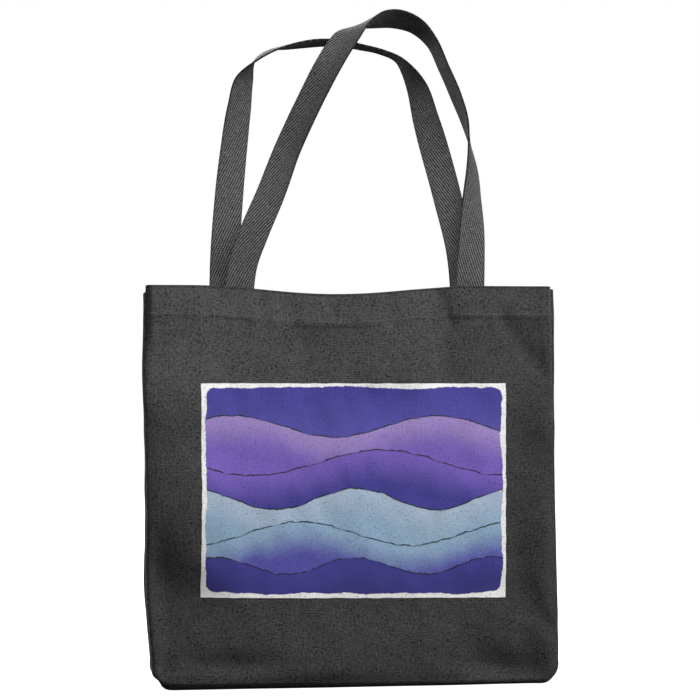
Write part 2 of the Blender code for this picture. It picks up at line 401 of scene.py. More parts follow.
@dataclass(frozen=True)
class PanelRelief:
    """Folds, puckers, raised seams, painted shade, wear and painted highlight of one panel."""

    shape: BagShape
    creases: tuple[Crease | Swell, ...]
    feet: tuple[float, float]
    seed: int
    left_roll: float = 3.9 * MM
    right_roll: float = 2.1 * MM
    left_roll_width: float = 7.5 * MM
    right_roll_width: float = 5.5 * MM
    roll_growth: Slope = Slope(190 * MM, 150 * MM, 0.45)
    seam_ridge: Bell = Bell(0.5 * MM, 8 * MM, 4 * MM)
    seam_groove: Bell = Bell(0.45 * MM, 2.4 * MM, 1.2 * MM)
    groove_top: float = 25 * MM
    hem_step: float = 1.05 * MM
    hem_slack: float = 0.3
    hem_edge: float = 4.2 * MM
    hem_edge_width: float = 4 * MM
    strained: tuple[Bell, ...] = (Bell(1.0, -20 * MM, 48 * MM), Bell(1.0, 163 * MM, 28 * MM))
    stitch_ridge: Bell = Bell(0.22 * MM, 0.0, 1.4 * MM)
    pucker: float = 0.6 * MM
    pucker_wave: float = 17 * MM
    small_pucker: float = 0.6
    small_pucker_wave: float = 8 * MM
    pucker_above: float = 16 * MM
    pucker_below: float = 9 * MM
    side_pull: Bell = Bell(0.4 * MM, 9 * MM, 9 * MM)
    side_pull_start: Slope = Slope(0.0, 5 * MM)
    side_pull_wave: float = 24 * MM
    side_pull_stretch: float = 0.35
    foot_step: float = 0.7 * MM
    foot_half_width: float = 14.5 * MM
    foot_depth: float = 29 * MM
    foot_side_edge: float = 2.2 * MM
    foot_low_edge: float = 2.5 * MM
    steadied: Slope = Slope(0.0, 14 * MM, 0.35)
    # Waves of slack: their height and length in millimetres, and how far z is squashed.
    slack: tuple[tuple[float, float, float], ...] = ((0.35, 70, 0.6), (0.3, 26, 0.75), (0.09, 11, 1.0))
    calm: Slope = Slope(0.0, 22 * MM)
    # Painted shade, a broad gradient that is darker towards the bottom: plain, by across, up, across
    # squared, across times up, and up squared.
    painted_shade_gradient: tuple[float, ...] = (0.175, 0.095, -0.2, 0.18, 0.1, -0.1)
    # A painted shadow along the left seam, wider near the top where the edge rolls back.
    folded_above: Slope = Slope(295 * MM, 40 * MM)
    folded_shade: Slope = Slope(3.5 * MM, 5.5 * MM, 0.72, 0.0)
    seam_shade: Bell = Bell(0.55, 0.0, 1.4 * MM)
    # Paler marks: wear by the low seams, a painted highlight along the right seam, and a painted
    # highlight with wear along the hem's stitches.
    low_wear: Bell = Bell(1.0, 3.5 * MM, 2.2 * MM)
    low_wear_height: float = 40 * MM
    side_highlight: Bell = Bell(1.0, 1.7 * MM, 1.1 * MM)
    side_highlight_climb: Slope = Slope(180 * MM, 90 * MM, 0.45)
    stitch_highlight_and_wear: Bell = Bell(0.6, 0.0, 1.3 * MM)
    off_middle: Slope = Slope(0.0, 60 * MM)

    def roll(self, x: Array, z: Array) -> Array:
        """How far the cloth has turned back at the seam."""
        return self.shape.between(x, self.left_roll, self.right_roll) * self.roll_growth.at(z)

    def seam_roll(self, x: Array, z: Array) -> Array:
        """The rounded edge that leads into the seam, with the ridge just inside it."""
        inside = self.shape.from_seam(x, z)
        width = self.shape.between(x, self.left_roll_width, self.right_roll_width)
        share = np.clip(1.0 - inside / width, 0.0, 1.0)
        groove = self.seam_groove.at(inside) * ease(1.0 - z / self.groove_top)
        ridge = self.seam_ridge.at(inside) - groove
        return ridge - self.roll(x, z) * (1.0 - np.sqrt(1.0 - share**2))

    def hem_line(self, x: Array) -> Array:
        """The height of the hem's row of stitches."""
        return self.shape.mouth(x) - self.shape.stitch_drop

    def sewing(self, x: Array, z: Array) -> Array:
        """The hem's ridge of stitches, the step under it and the puckers about them."""
        off = z - self.hem_line(x)
        pull = blend(self.hem_slack, 1.0, sum(bell.at(x) for bell in self.strained))
        past_edge = ease((off + self.hem_edge) / self.hem_edge_width + 0.5)
        step = self.hem_step * pull * (past_edge - 1.0)
        beat = soft_noise(x, 0 * z, self.pucker_wave, self.seed + 5)
        beat = beat + self.small_pucker * soft_noise(x, 0 * z, self.small_pucker_wave, self.seed + 6)
        width = np.where(off > 0.0, self.pucker_above, self.pucker_below)
        pucker = self.pucker * beat * np.exp(-((off / width) ** 2))
        return step + self.stitch_ridge.at(off) + pucker

    def side_puckers(self, x: Array, z: Array) -> Array:
        """Short pulls where the side seams hold the cloth."""
        inside = self.shape.from_seam(x, z)
        beat = soft_noise(self.side_pull_stretch * np.abs(x), z, self.side_pull_wave, self.seed + 7)
        return self.side_pull.at(inside) * beat * self.side_pull_start.at(inside)

    def foot_marks(self, x: Array, z: Array) -> Array:
        """The raised oblongs where the handles are sewn in behind the cloth."""
        total = np.zeros(np.broadcast(x, z).shape)
        for centre in self.feet:
            across = ease((self.foot_half_width - np.abs(x - centre)) / self.foot_side_edge + 0.5)
            down = ease((self.foot_depth - (self.shape.mouth(x) - z)) / self.foot_low_edge + 0.5)
            total = total + self.foot_step * across * down
        return total

    def unevenness(self, x: Array, z: Array) -> Array:
        """The slack that any cloth has, larger waves and small ones."""
        waves = (
            rise * soft_noise(x, squash * z, wave * MM, self.seed + index)
            for index, (rise, wave, squash) in enumerate(self.slack)
        )
        return MM * self.calm.at(self.shape.from_seam(x, z)) * sum(waves)

    def folds(self, x: Array, z: Array) -> Array:
        """The large folds, also as far as they move the seam itself."""
        flat = np.zeros(np.broadcast(x, z).shape)
        return sum((crease.height(x, z) for crease in self.creases), flat)

    def edge_folds(self, x: Array, z: Array) -> Array:
        """The folds held down towards the seams, where the gusset steadies the cloth."""
        return self.folds(x, z) * self.steadied.at(self.shape.from_seam(x, z))

    def height(self, x: Array, z: Array) -> Array:
        """How far the cloth stands out past the bellied panel, all told."""
        seams = self.seam_roll(x, z) + self.sewing(x, z) + self.side_puckers(x, z)
        return self.edge_folds(x, z) + seams + self.foot_marks(x, z) + self.unevenness(x, z)

    def fading(self, x: Array, z: Array) -> Array:
        """Painted shade over the panel: its colour is lightest below the mouth and darkest by the seams
        and the base.
        """
        across = x / self.shape.half_width
        up = 2.0 * z / self.shape.height - 1.0
        terms = (1.0, across, up, across**2, across * up, up**2)
        painted_shade_gradient = sum(share * term for share, term in zip(self.painted_shade_gradient, terms))
        inside = self.shape.from_seam(x, z)
        # Painted shadow along the left seam, wider above the folded height.
        edge = self.seam_shade.at(inside)
        painted_seam_shade = blend(edge, self.folded_shade.at(inside), self.folded_above.at(z))
        return np.exp(-painted_shade_gradient) * (1.0 - painted_seam_shade * self.off_middle.at(-x))

    def wear_and_highlight(self, x: Array, z: Array) -> Array:
        """Where the cloth is paler: rubbed by the low seams, with a painted highlight along the right
        seam and a painted highlight with wear along the hem's stitches.
        """
        inside = self.shape.from_seam(x, z)
        low = self.low_wear.at(inside) * np.exp(-z / self.low_wear_height)
        side = self.side_highlight.at(inside) * self.off_middle.at(x) * self.side_highlight_climb.at(z)
        return np.maximum(np.maximum(low, side), self.stitch_highlight_and_wear.at(z - self.hem_line(x)))

    def seam_place(self, x: Array, z: Array) -> Array:
        """Half of the depth right at the seam."""
        moved = self.steadied.low * self.folds(x, z) + self.sewing(x, z) - self.roll(x, z)
        return self.shape.seam_depth(z) + moved


FRONT_CREASES = (
    # The slack of the lower left: a long easy slope down to a furrow.
    Crease((-215, 140), (-100, 60), -7.5, 28, 22, bow=-10, fade_in=0, fade_out=0.45),
    Swell((-150, 175), 9, 40, 50),
    Swell((-178, 75), -9, 25, 50),
    Swell((-185, 110), -7.5, 16, 32),
    Swell((-180, 18), -3.5, 7, 14),
    # The rise and the hollow under the left end of the hem.
    Swell((-170, 258), 5, 55, 25),
    Swell((-155, 317), -5, 55, 25),
    Swell((-180, 295), -2.5, 7, 36),
    # The pull from the right handle to the right seam, and a hollow beneath it.
    Crease((126, 373), (202, 272), -2.5, 7.5, 9, bow=-9, fade_in=0.25, fade_out=0),
    Swell((165, 303), -5, 36, 22),
    Swell((182, 247), 3.5, 14, 20),
    Swell((177, 329), -2, 15, 9),
    Swell((150, 345), 2, 24, 15),
    Crease((160, 241), (194, 226), 3, 10, 15, bow=4, fade_in=0.45, fade_out=0),
    # The foot of the right handle, drawn forward, with furrows beside and below it.
    Crease((78, 371), (90, 300), -4, 12, 13, bow=3, fade_in=0, fade_out=0.5),
    Crease((91, 337), (107, 245), -5, 21, 19, bow=-6, fade_in=0.4, fade_out=0.5),
    Swell((116, 356), 2.5, 25, 36),
    Swell((96, 303), 2, 10, 16),
    Crease((82, 370), (99, 324), -1.5, 7, 2, fade_in=0.2, fade_out=0.3),
    # The bowed fold low on the right, steep on its left.
    Crease((178, 186), (194, 54), 4.5, 9.5, 22, bow=-20, fade_in=0.35, fade_out=0.1),
    Swell((157, 107), -2.5, 11, 40),
    Swell((178, 146), 4, 10, 44),
    # Furrows above the bottom seam, and the slack between them.
    Crease((90, 34), (177, 5), -6, 17, 18, bow=-6, fade_in=0.35, fade_out=0.2),
    Crease((149, 65), (190, 14), 3.5, 12, 13, bow=6),
    Crease((-63, 82), (-27, 11), -2, 15, 12),
    Crease((50, 84), (63, 27), 1, 14, 16),
    Swell((-118, 23), -5, 36, 11),
    Swell((-30, 25), 6, 47, 33),
    Swell((56, 70), -2, 41, 19),
    Swell((60, 23), 1.5, 14, 10),
    Swell((113, 87), -2.5, 49, 17),
    Swell((141, 38), 2, 23, 16),
    # The soft upright folds of the hem between the handles.
    Swell((-107, 358), -6, 32, 29),
    Swell((17, 367), 6, 44, 15),
    Swell((-3, 343), 5.5, 45, 24),
    Swell((-61, 346), -1, 26, 11),
    Swell((-112, 299), -2, 17, 25),
    Swell((27, 293), 2.5, 20, 19),
    Crease((-84, 376), (-84, 318), -0.5, 4, 3, fade_in=0, fade_out=0.5),
    Crease((-68, 377), (-66, 332), -1, 7, 8, fade_in=0, fade_out=0.5),
    Crease((-24, 372), (-19, 334), -1, 4, 5, fade_in=0, fade_out=0.5),
    Crease((6, 374), (2, 327), 1.5, 7, 5, fade_in=0, fade_out=0.5),
    Crease((34, 371), (35, 328), -1, 7, 7, fade_in=0, fade_out=0.5),
    Crease((65, 377), (62, 328), -2.5, 11, 14, fade_in=0, fade_out=0.5),
    Crease((-56, 335), (-39, 266), -2, 15, 17),
    Crease((52, 332), (52, 262), 1.5, 15, 11),
)

BACK_CREASES = (
    Swell((-150, 190), 4.0, 38, 45),
    Swell((150, 110), -4.5, 34, 38),
    Swell((120, 300), -3.0, 45, 26),
    Swell((20, 150), 2.5, 80, 50),
    Swell((-60, 330), 2.5, 50, 24),
    Crease((-120, 372), (-196, 262), -3.4, 18, 9, bow=5, fade_in=0.25, fade_out=0),
    Crease((108, 370), (150, 300), -2.0, 8, 15, fade_in=0.2, fade_out=0.4),
    Crease((205, 150), (110, 76), -4.4, 26, 12, bow=4, fade_in=0, fade_out=0.45),
    Crease((-196, 110), (-128, 36), -2.6, 14, 9, fade_in=0, fade_out=0.4),
    Crease((-60, 220), (20, 236), 1.8, 60, 50, fade_in=0.5, fade_out=0.5),
    Crease((-74, 374), (-70, 326), 0.9, 6, 7, fade_in=0, fade_out=0.5),
    Crease((-34, 372), (-38, 318), -0.9, 4, 6, fade_in=0, fade_out=0.5),
    Crease((4, 372), (8, 322), 0.9, 5, 5, fade_in=0, fade_out=0.5),
    Crease((46, 372), (42, 330), -0.8, 5, 4, fade_in=0, fade_out=0.5),
    Crease((74, 374), (78, 320), 0.9, 7, 7, fade_in=0, fade_out=0.5),
    Crease((-30, 90), (10, 18), 1.1, 14, 14),
    Crease((60, 80), (36, 20), 1.0, 12, 13),
)


# ---------------------------------------------------------------- pieces of cloth


@dataclass(frozen=True)
class PanelCut:
    """One panel, from its bottom seam up and over the mouth's fold to its hem's edge."""

    side: Side
    shape: BagShape
    relief: PanelRelief
    coarse: float = 2.5 * MM
    fine: float = 0.75 * MM
    edge_reach: float = 12 * MM
    fold_steps: int = 8
    hem_band: Place = (35 * MM, 20 * MM)
    hem_rows: int = 20
    row_gap: float = 0.001
    hem_inset: float = 5.5 * MM
    hem_fading: float = 0.9
    mouth_shade: float = 0.7 * MM
    facing_step: float = 0.8 * MM

    def surface(self, x: Array, z: Array, inset: float | Array = 0.0) -> Array:
        """Places on the middle of the cloth, or inset from it towards the inside."""
        depth = self.shape.seam_depth(z) + self.shape.swell(x, z) + self.relief.height(x, z)
        y = self.side.value * (depth - inset)
        moved = x + self.shape.bulge(x, z, y) + self.shape.drift(z, y)
        return np.stack(np.broadcast_arrays(moved, y, z), axis=-1)

    def outward(self, x: Array, z: Array) -> Array:
        """The way the outside of the cloth faces."""
        step = self.facing_step
        across = self.surface(x + step, z) - self.surface(x - step, z)
        up = self.surface(x, z + step) - self.surface(x, z - step)
        normal = np.cross(up, across) * self.side.value
        return normal / np.linalg.norm(normal, axis=-1, keepdims=True)

    def build(self) -> bpy.types.Object:
        """The panel's cloth as one closed piece."""
        shape = self.shape
        share = graded(2 * shape.half_width, self.coarse, self.fine, self.edge_reach, True)
        share = share / shape.half_width - 1.0
        tall = shape.height - shape.seam_height
        climb = graded(tall, self.coarse, self.fine, self.edge_reach, True) / tall
        low, high = (1.0 - drop / tall for drop in self.hem_band)
        hem_rows = np.linspace(low, high, self.hem_rows)
        below, above = climb[climb < low - self.row_gap], climb[climb > high + self.row_gap]
        climb = np.concatenate((below, hem_rows, above))
        turn = np.linspace(0.0, math.pi, self.fold_steps + 1)[1:]
        down = np.linspace(0.0, shape.hem_depth, math.ceil(shape.hem_depth / self.coarse) + 1)[1:]

        rise = climb[:, None]
        wide = share[None, :] * shape.half_width
        seam = shape.seam_line(wide)
        top = shape.mouth(wide) - shape.canvas / 2 - shape.fold_radius
        z = seam + rise * (top - seam)
        outer_x = share[None, :] * shape.reach(z - seam)
        outer = self.surface(outer_x, z)

        bend = turn[:, None]
        narrowed = self.hem_inset / shape.half_width
        tucked = wide * (1.0 - narrowed * (1.0 - np.cos(bend)) / 2)
        fold_z = top + shape.fold_radius * np.sin(bend)
        fold = self.surface(tucked, fold_z, shape.fold_radius * (1.0 - np.cos(bend)))

        inner_z = top - down[:, None]
        inner = self.surface(wide * (1.0 - narrowed), inner_z, 2 * shape.fold_radius)

        flat_top = tall * np.ones_like(wide)
        over = flat_top + shape.fold_radius * math.pi
        maps = (
            (outer_x, rise * flat_top),
            (wide, flat_top + shape.fold_radius * bend),
            (wide, over + down[:, None]),
        )
        cut = np.concatenate([np.stack(np.broadcast_arrays(*pair), -1) for pair in maps])
        wear_and_highlight = np.concatenate((self.relief.wear_and_highlight(outer_x, z), 0 * fold_z, 0 * inner_z))
        # Painted shade: the panel's painted gradient is darkened by half at the mouth's edge, the fold
        # over the mouth is painted at half, and the inner hem is a tenth darker.
        shaded = self.relief.fading(outer_x, z) * (1.0 - 0.5 * np.exp(-(top - z) / self.mouth_shade))
        edge = 0.5 * self.relief.fading(wide, top) * np.ones_like(bend)
        fading = np.concatenate((shaded, edge, self.hem_fading + 0 * inner_z))
        panel = shaped_grid(
            f"{self.side.name.lower()}_cloth", np.concatenate((outer, fold, inner)), cut, wear_and_highlight, fading
        )
        thicken(panel, shape.canvas)
        return panel


@dataclass(frozen=True)
class GussetStrip:
    """The strip between the panels: down one side, under the base and up the other."""

    shape: BagShape
    front: PanelRelief
    back: PanelRelief
    left_proud: float = 1.9 * MM
    right_proud: float = 1.7 * MM
    side_slope: float = 11 * MM
    base_slope: float = 5.5 * MM
    slope_power: float = 1.25
    rim: float = 0.7 * MM
    left_dip: float = 6.6 * MM
    right_dip: float = 1.4 * MM
    left_tuck: float = 0.75
    right_tuck: float = 0.1
    to_left: Slope = Slope(-100 * MM, 200 * MM, 1.0, 0.0)
    tuck_reach: float = 100 * MM
    tuck_angle: float = math.radians(48)
    tuck_width: float = math.radians(15)
    crease: float = 6 * MM
    crease_growth: Slope = Slope(60 * MM, 250 * MM)
    slack: float = 0.5 * MM
    slack_wave: float = 40 * MM
    slack_stretch: float = 30 * MM
    across_steps: int = 44
    spacing: float = 2.6 * MM
    fold_steps: int = 8
    hem_share: float = 0.72
    sag: float = 0.15
    curved: float = 1.15
    rubbed_edge: float = 0.05
    rubbed_base: float = 0.7
    rubbed_and_lit_right: Slope = Slope(-60 * MM, 60 * MM)
    on_fold: Place = (0.1, 3.0)
    side_shade: float = 0.8
    base_shade: float = 0.55

    def half_path(self) -> tuple[float, float, float]:
        """Lengths of half of the base, of one corner and of one side."""
        base = self.shape.half_width - self.shape.corner
        corner = self.shape.corner * math.pi / 2
        side = self.shape.height - self.shape.seam_height - self.shape.corner
        return base, corner, side

    def outline(self, path: Array, top: Array) -> tuple[Array, ...]:
        """The panels' outline that the strip is sewn along.

        Args:
            path: Distance along the strip from the middle of the base.
            top: Height of the strip's own top edge.

        Returns:
            x and z of the outline, its outward x and z, and how far it is under the bag.
        """
        base, corner, side = self.half_path()
        sign = np.where(path < 0, -1.0, 1.0)
        far = np.abs(path)
        angle = np.clip((far - base) / self.shape.corner, 0.0, math.pi / 2)
        up = np.clip(far - base - corner, 0.0, None) * (top - (self.shape.height - side)) / side
        x = sign * (np.minimum(far, base) + self.shape.corner * np.sin(angle))
        z = self.shape.seam_line(x) + self.shape.corner * (1.0 - np.cos(angle)) + up
        return np.broadcast_arrays(x, z, sign * np.sin(angle), -np.cos(angle), np.cos(angle) ** 2)

    def top_edge(self, path: Array, across: Array) -> Array:
        """The mouth's height over the strip, which sags a little between the panels."""
        dip = np.where(path < 0, self.left_dip, self.right_dip)
        edge = self.shape.canvas / 2 + self.shape.fold_radius
        return self.shape.height - edge - dip * (1.0 + self.sag * (1.0 - across**2))

    def build(self) -> bpy.types.Object:
        """The strip's cloth as one closed piece."""
        shape = self.shape
        base, corner, side = self.half_path()
        whole = base + corner + side
        path = np.linspace(-whole, whole, 2 * math.ceil(whole / self.spacing) + 1)
        hem = np.arange(0.0, shape.hem_depth, self.spacing)
        turn = np.linspace(math.pi, 0.0, self.fold_steps + 1)[:-1]
        end_drop = np.concatenate((hem[::-1], 0 * turn))
        end_bend = np.concatenate((0 * hem + math.pi, turn))
        drop = np.concatenate((end_drop, 0 * path, end_drop[::-1]))[:, None]
        bend = np.concatenate((end_bend, 0 * path, end_bend[::-1]))[:, None]
        path = np.pad(path, len(end_drop), mode="edge")[:, None]

        across = np.linspace(-1.0, 1.0, self.across_steps + 1)[None, :]
        inside = (1.0 - np.cos(bend)) / 2
        across_used = across * (1.0 - (1.0 - self.hem_share) * inside)
        x0, z0, out_x, out_z, under = self.outline(path, self.top_edge(path, across_used))
        z0 = z0 + shape.fold_radius * np.sin(bend) - drop
        front = self.front.seam_place(x0, z0)
        back = self.back.seam_place(x0, z0)
        out, y = self.section(across_used, under, out_x, x0, z0, front, back)
        out = out - 2 * shape.fold_radius * inside
        x = x0 + out * out_x
        z = z0 + out * out_z
        places = np.stack((x + shape.bulge(x0, z, y) + shape.drift(z, y), y, z), axis=-1)

        breadth = ((front + back) / 2).mean() * self.curved
        lengthwise = path + np.sign(path) * (drop + shape.fold_radius * bend)
        cut = np.stack(np.broadcast_arrays(across * breadth, lengthwise), -1)
        # Paler along the strip's edges and under the base, only towards the right: wear, with a painted
        # highlight on the lit side.
        rubbed_and_lit_pale = np.maximum(np.exp(-(1.0 - np.abs(across)) / self.rubbed_edge), self.rubbed_base * under)
        rubbed_and_lit_pale = rubbed_and_lit_pale * self.rubbed_and_lit_right.at(x0)
        folded = np.where((bend > self.on_fold[0]) & (bend < self.on_fold[1]), 1.0, 0.0)
        # Painted shade: the strip is darker than the panels on its sides, and darker still under the
        # base.
        fading = blend(self.side_shade, self.base_shade, under)
        strip = shaped_grid("gusset_cloth", places, cut, np.maximum(rubbed_and_lit_pale, folded), fading)
        thicken(strip, shape.canvas)
        return strip

    def section(
        self,
        across: Array,
        under: Array,
        out_x: Array,
        x0: Array,
        z0: Array,
        front: Array,
        back: Array,
    ) -> tuple[Array, Array]:
        """The strip's cross-section at each place.

        Args:
            across: From -1 at the front seam to 1 at the back seam.
            under: 0 on the sides and 1 under the base.
            out_x: The outline's outward x.
            x0: The outline's x.
            z0: The outline's z.
            front: Depth of the front seam.
            back: Depth of the back seam.

        Returns:
            How far the strip stands out of the outline, and its y.
        """
        proud = blend(self.right_proud, self.left_proud, self.to_left.at(x0))
        drop = blend(proud, self.shape.seam_line(x0) - self.shape.canvas / 2, under)
        slope = blend(self.side_slope, self.base_slope, under)
        depth = np.where(across < 0, front, back)
        edge = np.clip((1.0 - np.abs(across)) * depth / slope, 0.0, 1.0)
        out = blend(self.rim, drop, 1.0 - (1.0 - edge) ** self.slope_power)
        y = across * depth
        hollow = np.cos(np.clip(across * 1.5, -1, 1) * math.pi / 2) ** 2
        hollow = self.crease * self.crease_growth.at(z0) * (1.0 - under) * hollow
        spread = across * self.slack_stretch + np.sign(x0)
        slack = self.slack * soft_noise(spread, z0, self.slack_wave, 31) * (1.0 - under)
        around = np.arctan2(-np.sqrt(np.clip(1.0 - out_x**2, 0.0, 1.0)), np.abs(out_x))
        tucked = np.exp(-(((around + self.tuck_angle) / self.tuck_width) ** 2))
        tuck = blend(self.right_tuck, self.left_tuck, ease(-x0 / self.tuck_reach))
        out = out * (1.0 - tuck * tucked)
        return out - hollow + slack * edge, y


@dataclass(frozen=True)
class SeamAllowance:
    """The sewn-together edges of a panel and the gusset, which point into the bag."""

    side: Side
    shape: BagShape
    relief: PanelRelief
    width: float = 10.5 * MM
    thickness: float = 2.0 * MM
    tucked: float = 2.0 * MM
    trimmed: float = 0.6
    trimmed_over: float = 4 * MM
    rounding: float = 0.5 * MM
    waver: float = 0.5 * MM
    waver_length: float = 30 * MM
    start_off: float = 1.0 * MM
    end_off: float = 4.0 * MM
    meets_panel: Slope = Slope(270 * MM, 60 * MM, -0.4 * MM, 0.7 * MM)
    spacing: float = 3.2 * MM
    steps: int = 5

    def build(self, strip: GussetStrip) -> bpy.types.Object:
        """The allowance as one closed strip.

        Args:
            strip: The gusset whose outline it follows.

        Returns:
            The piece.
        """
        base, corner, side = strip.half_path()
        reach = base + corner + side
        path = np.linspace(-reach, reach, 2 * math.ceil(reach / self.spacing) + 1)[:, None]
        x0, z0, out_x, out_z, _ = strip.outline(path, strip.top_edge(path, 1.0) - self.tucked)
        under_hem = ease((z0 - self.shape.height + self.shape.hem_depth) / self.trimmed_over)
        inward = np.linspace(0.0, 1.0, self.steps + 1)[None, :] * (1.0 - self.trimmed * under_hem)
        wave = self.waver * soft_noise(path, 0 * path, self.waver_length, 51) * inward
        off = blend(self.start_off, self.end_off, inward) + wave
        depth = self.relief.seam_place(x0, z0) + self.meets_panel.at(z0) - self.width * inward
        y = self.side.value * depth
        x = x0 - off * out_x
        z = z0 - off * out_z
        moved = x + self.shape.bulge(x0, z, y) + self.shape.drift(z, y)
        places = np.stack(np.broadcast_arrays(moved, y, z), axis=-1)
        cut = np.stack(np.broadcast_arrays(self.width * inward, path), -1)
        name = f"{self.side.name.lower()}_seam_allowance"
        piece = shaped_grid(name, places, cut, inward)
        thicken(piece, self.thickness, self.rounding)
        return piece


@dataclass(frozen=True)
class PrintFilm:
    """The thin film of ink on the front panel."""

    panel: PanelCut
    top_left: Place = (-143.8 * MM, 280.2 * MM)
    top_right: Place = (139.8 * MM, 279.6 * MM)
    bottom_left: Place = (-143.5 * MM, 84.7 * MM)
    bottom_right: Place = (139.2 * MM, 81.2 * MM)
    film: float = 0.25 * MM
    spacing: float = 2.2 * MM
    edge_spacing: float = 0.8 * MM
    edge_reach: float = 5 * MM
    ragged: float = 0.2 * MM
    ragged_wave: float = 11 * MM
    clearance: float = 0.06 * MM

    def build(self) -> bpy.types.Object:
        """The film as one closed sheet that follows the cloth under it."""
        width = self.top_right[0] - self.top_left[0]
        tall = self.top_left[1] - self.bottom_left[1]
        u = graded(width, self.spacing, self.edge_spacing, self.edge_reach, True)[None, :] / width
        v = graded(tall, self.spacing, self.edge_spacing, self.edge_reach, True)[:, None] / tall
        corners = (self.bottom_left, self.bottom_right, self.top_left, self.top_right)
        weights = ((1 - u) * (1 - v), u * (1 - v), (1 - u) * v, u * v)
        x, z = (sum(w * c[axis] for w, c in zip(weights, corners)) for axis in (0, 1))
        wobble_x = self.ragged * soft_noise(z, 0 * z, self.ragged_wave, 61) * (2 * u - 1) ** 8
        wobble_z = self.ragged * soft_noise(x, 0 * x, self.ragged_wave, 62) * (2 * v - 1) ** 8
        x, z = x + wobble_x, z + wobble_z
        flat_x = x - self.panel.shape.drift(z, np.full_like(x, -self.panel.shape.base_half_depth))
        above = self.panel.shape.canvas / 2 + self.film / 2 + self.clearance
        places = self.panel.surface(flat_x, z, -above)
        cut = np.stack(np.broadcast_arrays(u * width, v * tall), -1)
        sheet = shaped_grid("front_print", places, cut, np.zeros(places.shape[:2]))
        thicken(sheet, self.film)
        return sheet


# ---------------------------------------------------------------- webbing handles


# The handles' middle lines from foot to foot: x, y, z in millimetres, the turn of the
# webbing in degrees, and how far its inner half curls back. At a turn of 0 it lies flat
# to the front; at 90 its inner edge points forwards, and at -90 backwards.
FRONT_HANDLE = (
    (-107.5, -15.3, 341, 0, 0), (-107.5, -15.4, 368, 0, 0), (-104.5, -17.4, 390, 4, 8),
    (-95, -18.8, 417, 12, 10), (-79, -17, 454, 17, -8), (-62, -14, 495, 13, -38),
    (-42, -22, 539, 13, -42), (-24.5, -29, 574, 16, -34), (-9, -25, 598, 40, -8),
    (5, -14, 611.5, 78, 0), (21.5, -2, 618.5, 112, 0), (41, 4, 620, 122, 0),
    (60, 5.5, 613.5, 114, 0), (75, 5, 599, 102, 0), (87, 2.5, 574.5, 99, 0),
    (98.5, -0.5, 547, 99, 0), (106, -3, 525, 92, 0), (110, -6.5, 500, 74, 0),
    (111.5, -11, 474.5, 55, 0), (110.5, -14.5, 450.5, 40, 0), (108.5, -18.5, 411, 15, 0),
    (107, -20, 368, 0, 0), (107, -18.5, 341, 0, 0),
)
BACK_HANDLE = (
    (-118.5, 18.7, 341, 0, 0), (-118.5, 20, 369, 0, 0), (-117.6, 13.8, 411, 0, 0),
    (-114.8, 15.6, 445, -6, 0), (-110, 18.4, 492, -18, 0), (-104.5, 15.4, 536.5, -32, 0),
    (-100.5, 11.5, 561.5, -50, 0), (-90.5, 7.5, 579.5, -92, 0), (-77, 5, 588.5, -98, 0),
    (-59, 4, 593, -88, 0), (-40, 3.5, 595.5, -83, 0), (-16.5, 3.5, 595.5, -85, 0),
    (6.5, 4, 593, -88, 0), (28.5, 6, 589.5, -90, 0), (46, 9.5, 582, -87, 0), (54.5, 11.3, 571.5, -74, 0),
    (62, 13, 558, -58, 0), (71.5, 15, 527, -36, 0), (80, 15.6, 499, -16, 0),
    (93, 14.2, 451, -2, 0), (104.5, 15.2, 404, 0, 0), (109, 20.2, 369.5, 0, 0),
    (109, 19, 341, 0, 0),
)


def smooth_path(stations: tuple[tuple[float, ...], ...], count: int) -> Array:
    """Evenly spaced samples of a smooth curve through the stations.

    Args:
        stations: Rows of numbers; the first three are a place.
        count: How many samples.

    Returns:
        The samples, with as many numbers each as the stations have.
    """
    points = np.array(stations, dtype=float)
    legs = np.linalg.norm(np.diff(points[:, :3], axis=0), axis=1)
    at = np.concatenate(([0.0], np.cumsum(legs)))
    slopes = np.diff(points, axis=0) / legs[:, None]
    tangents = np.empty_like(points)
    tangents[0] = slopes[0]
    tangents[-1] = slopes[-1]
    before = legs[:-1, None]
    after = legs[1:, None]
    tangents[1:-1] = (slopes[1:] * before + slopes[:-1] * after) / (before + after)
    wanted = np.linspace(0.0, at[-1], count)
    leg = np.clip(np.searchsorted(at, wanted, side="right") - 1, 0, len(legs) - 1)
    length = legs[leg][:, None]
    t = (wanted - at[leg])[:, None] / length
    start = (2 * t**3 - 3 * t**2 + 1) * points[leg]
    end = (3 * t**2 - 2 * t**3) * points[leg + 1]
    leave = (t**3 - 2 * t**2 + t) * length * tangents[leg]
    arrive = (t**3 - t**2) * length * tangents[leg + 1]
    return start + end + leave + arrive


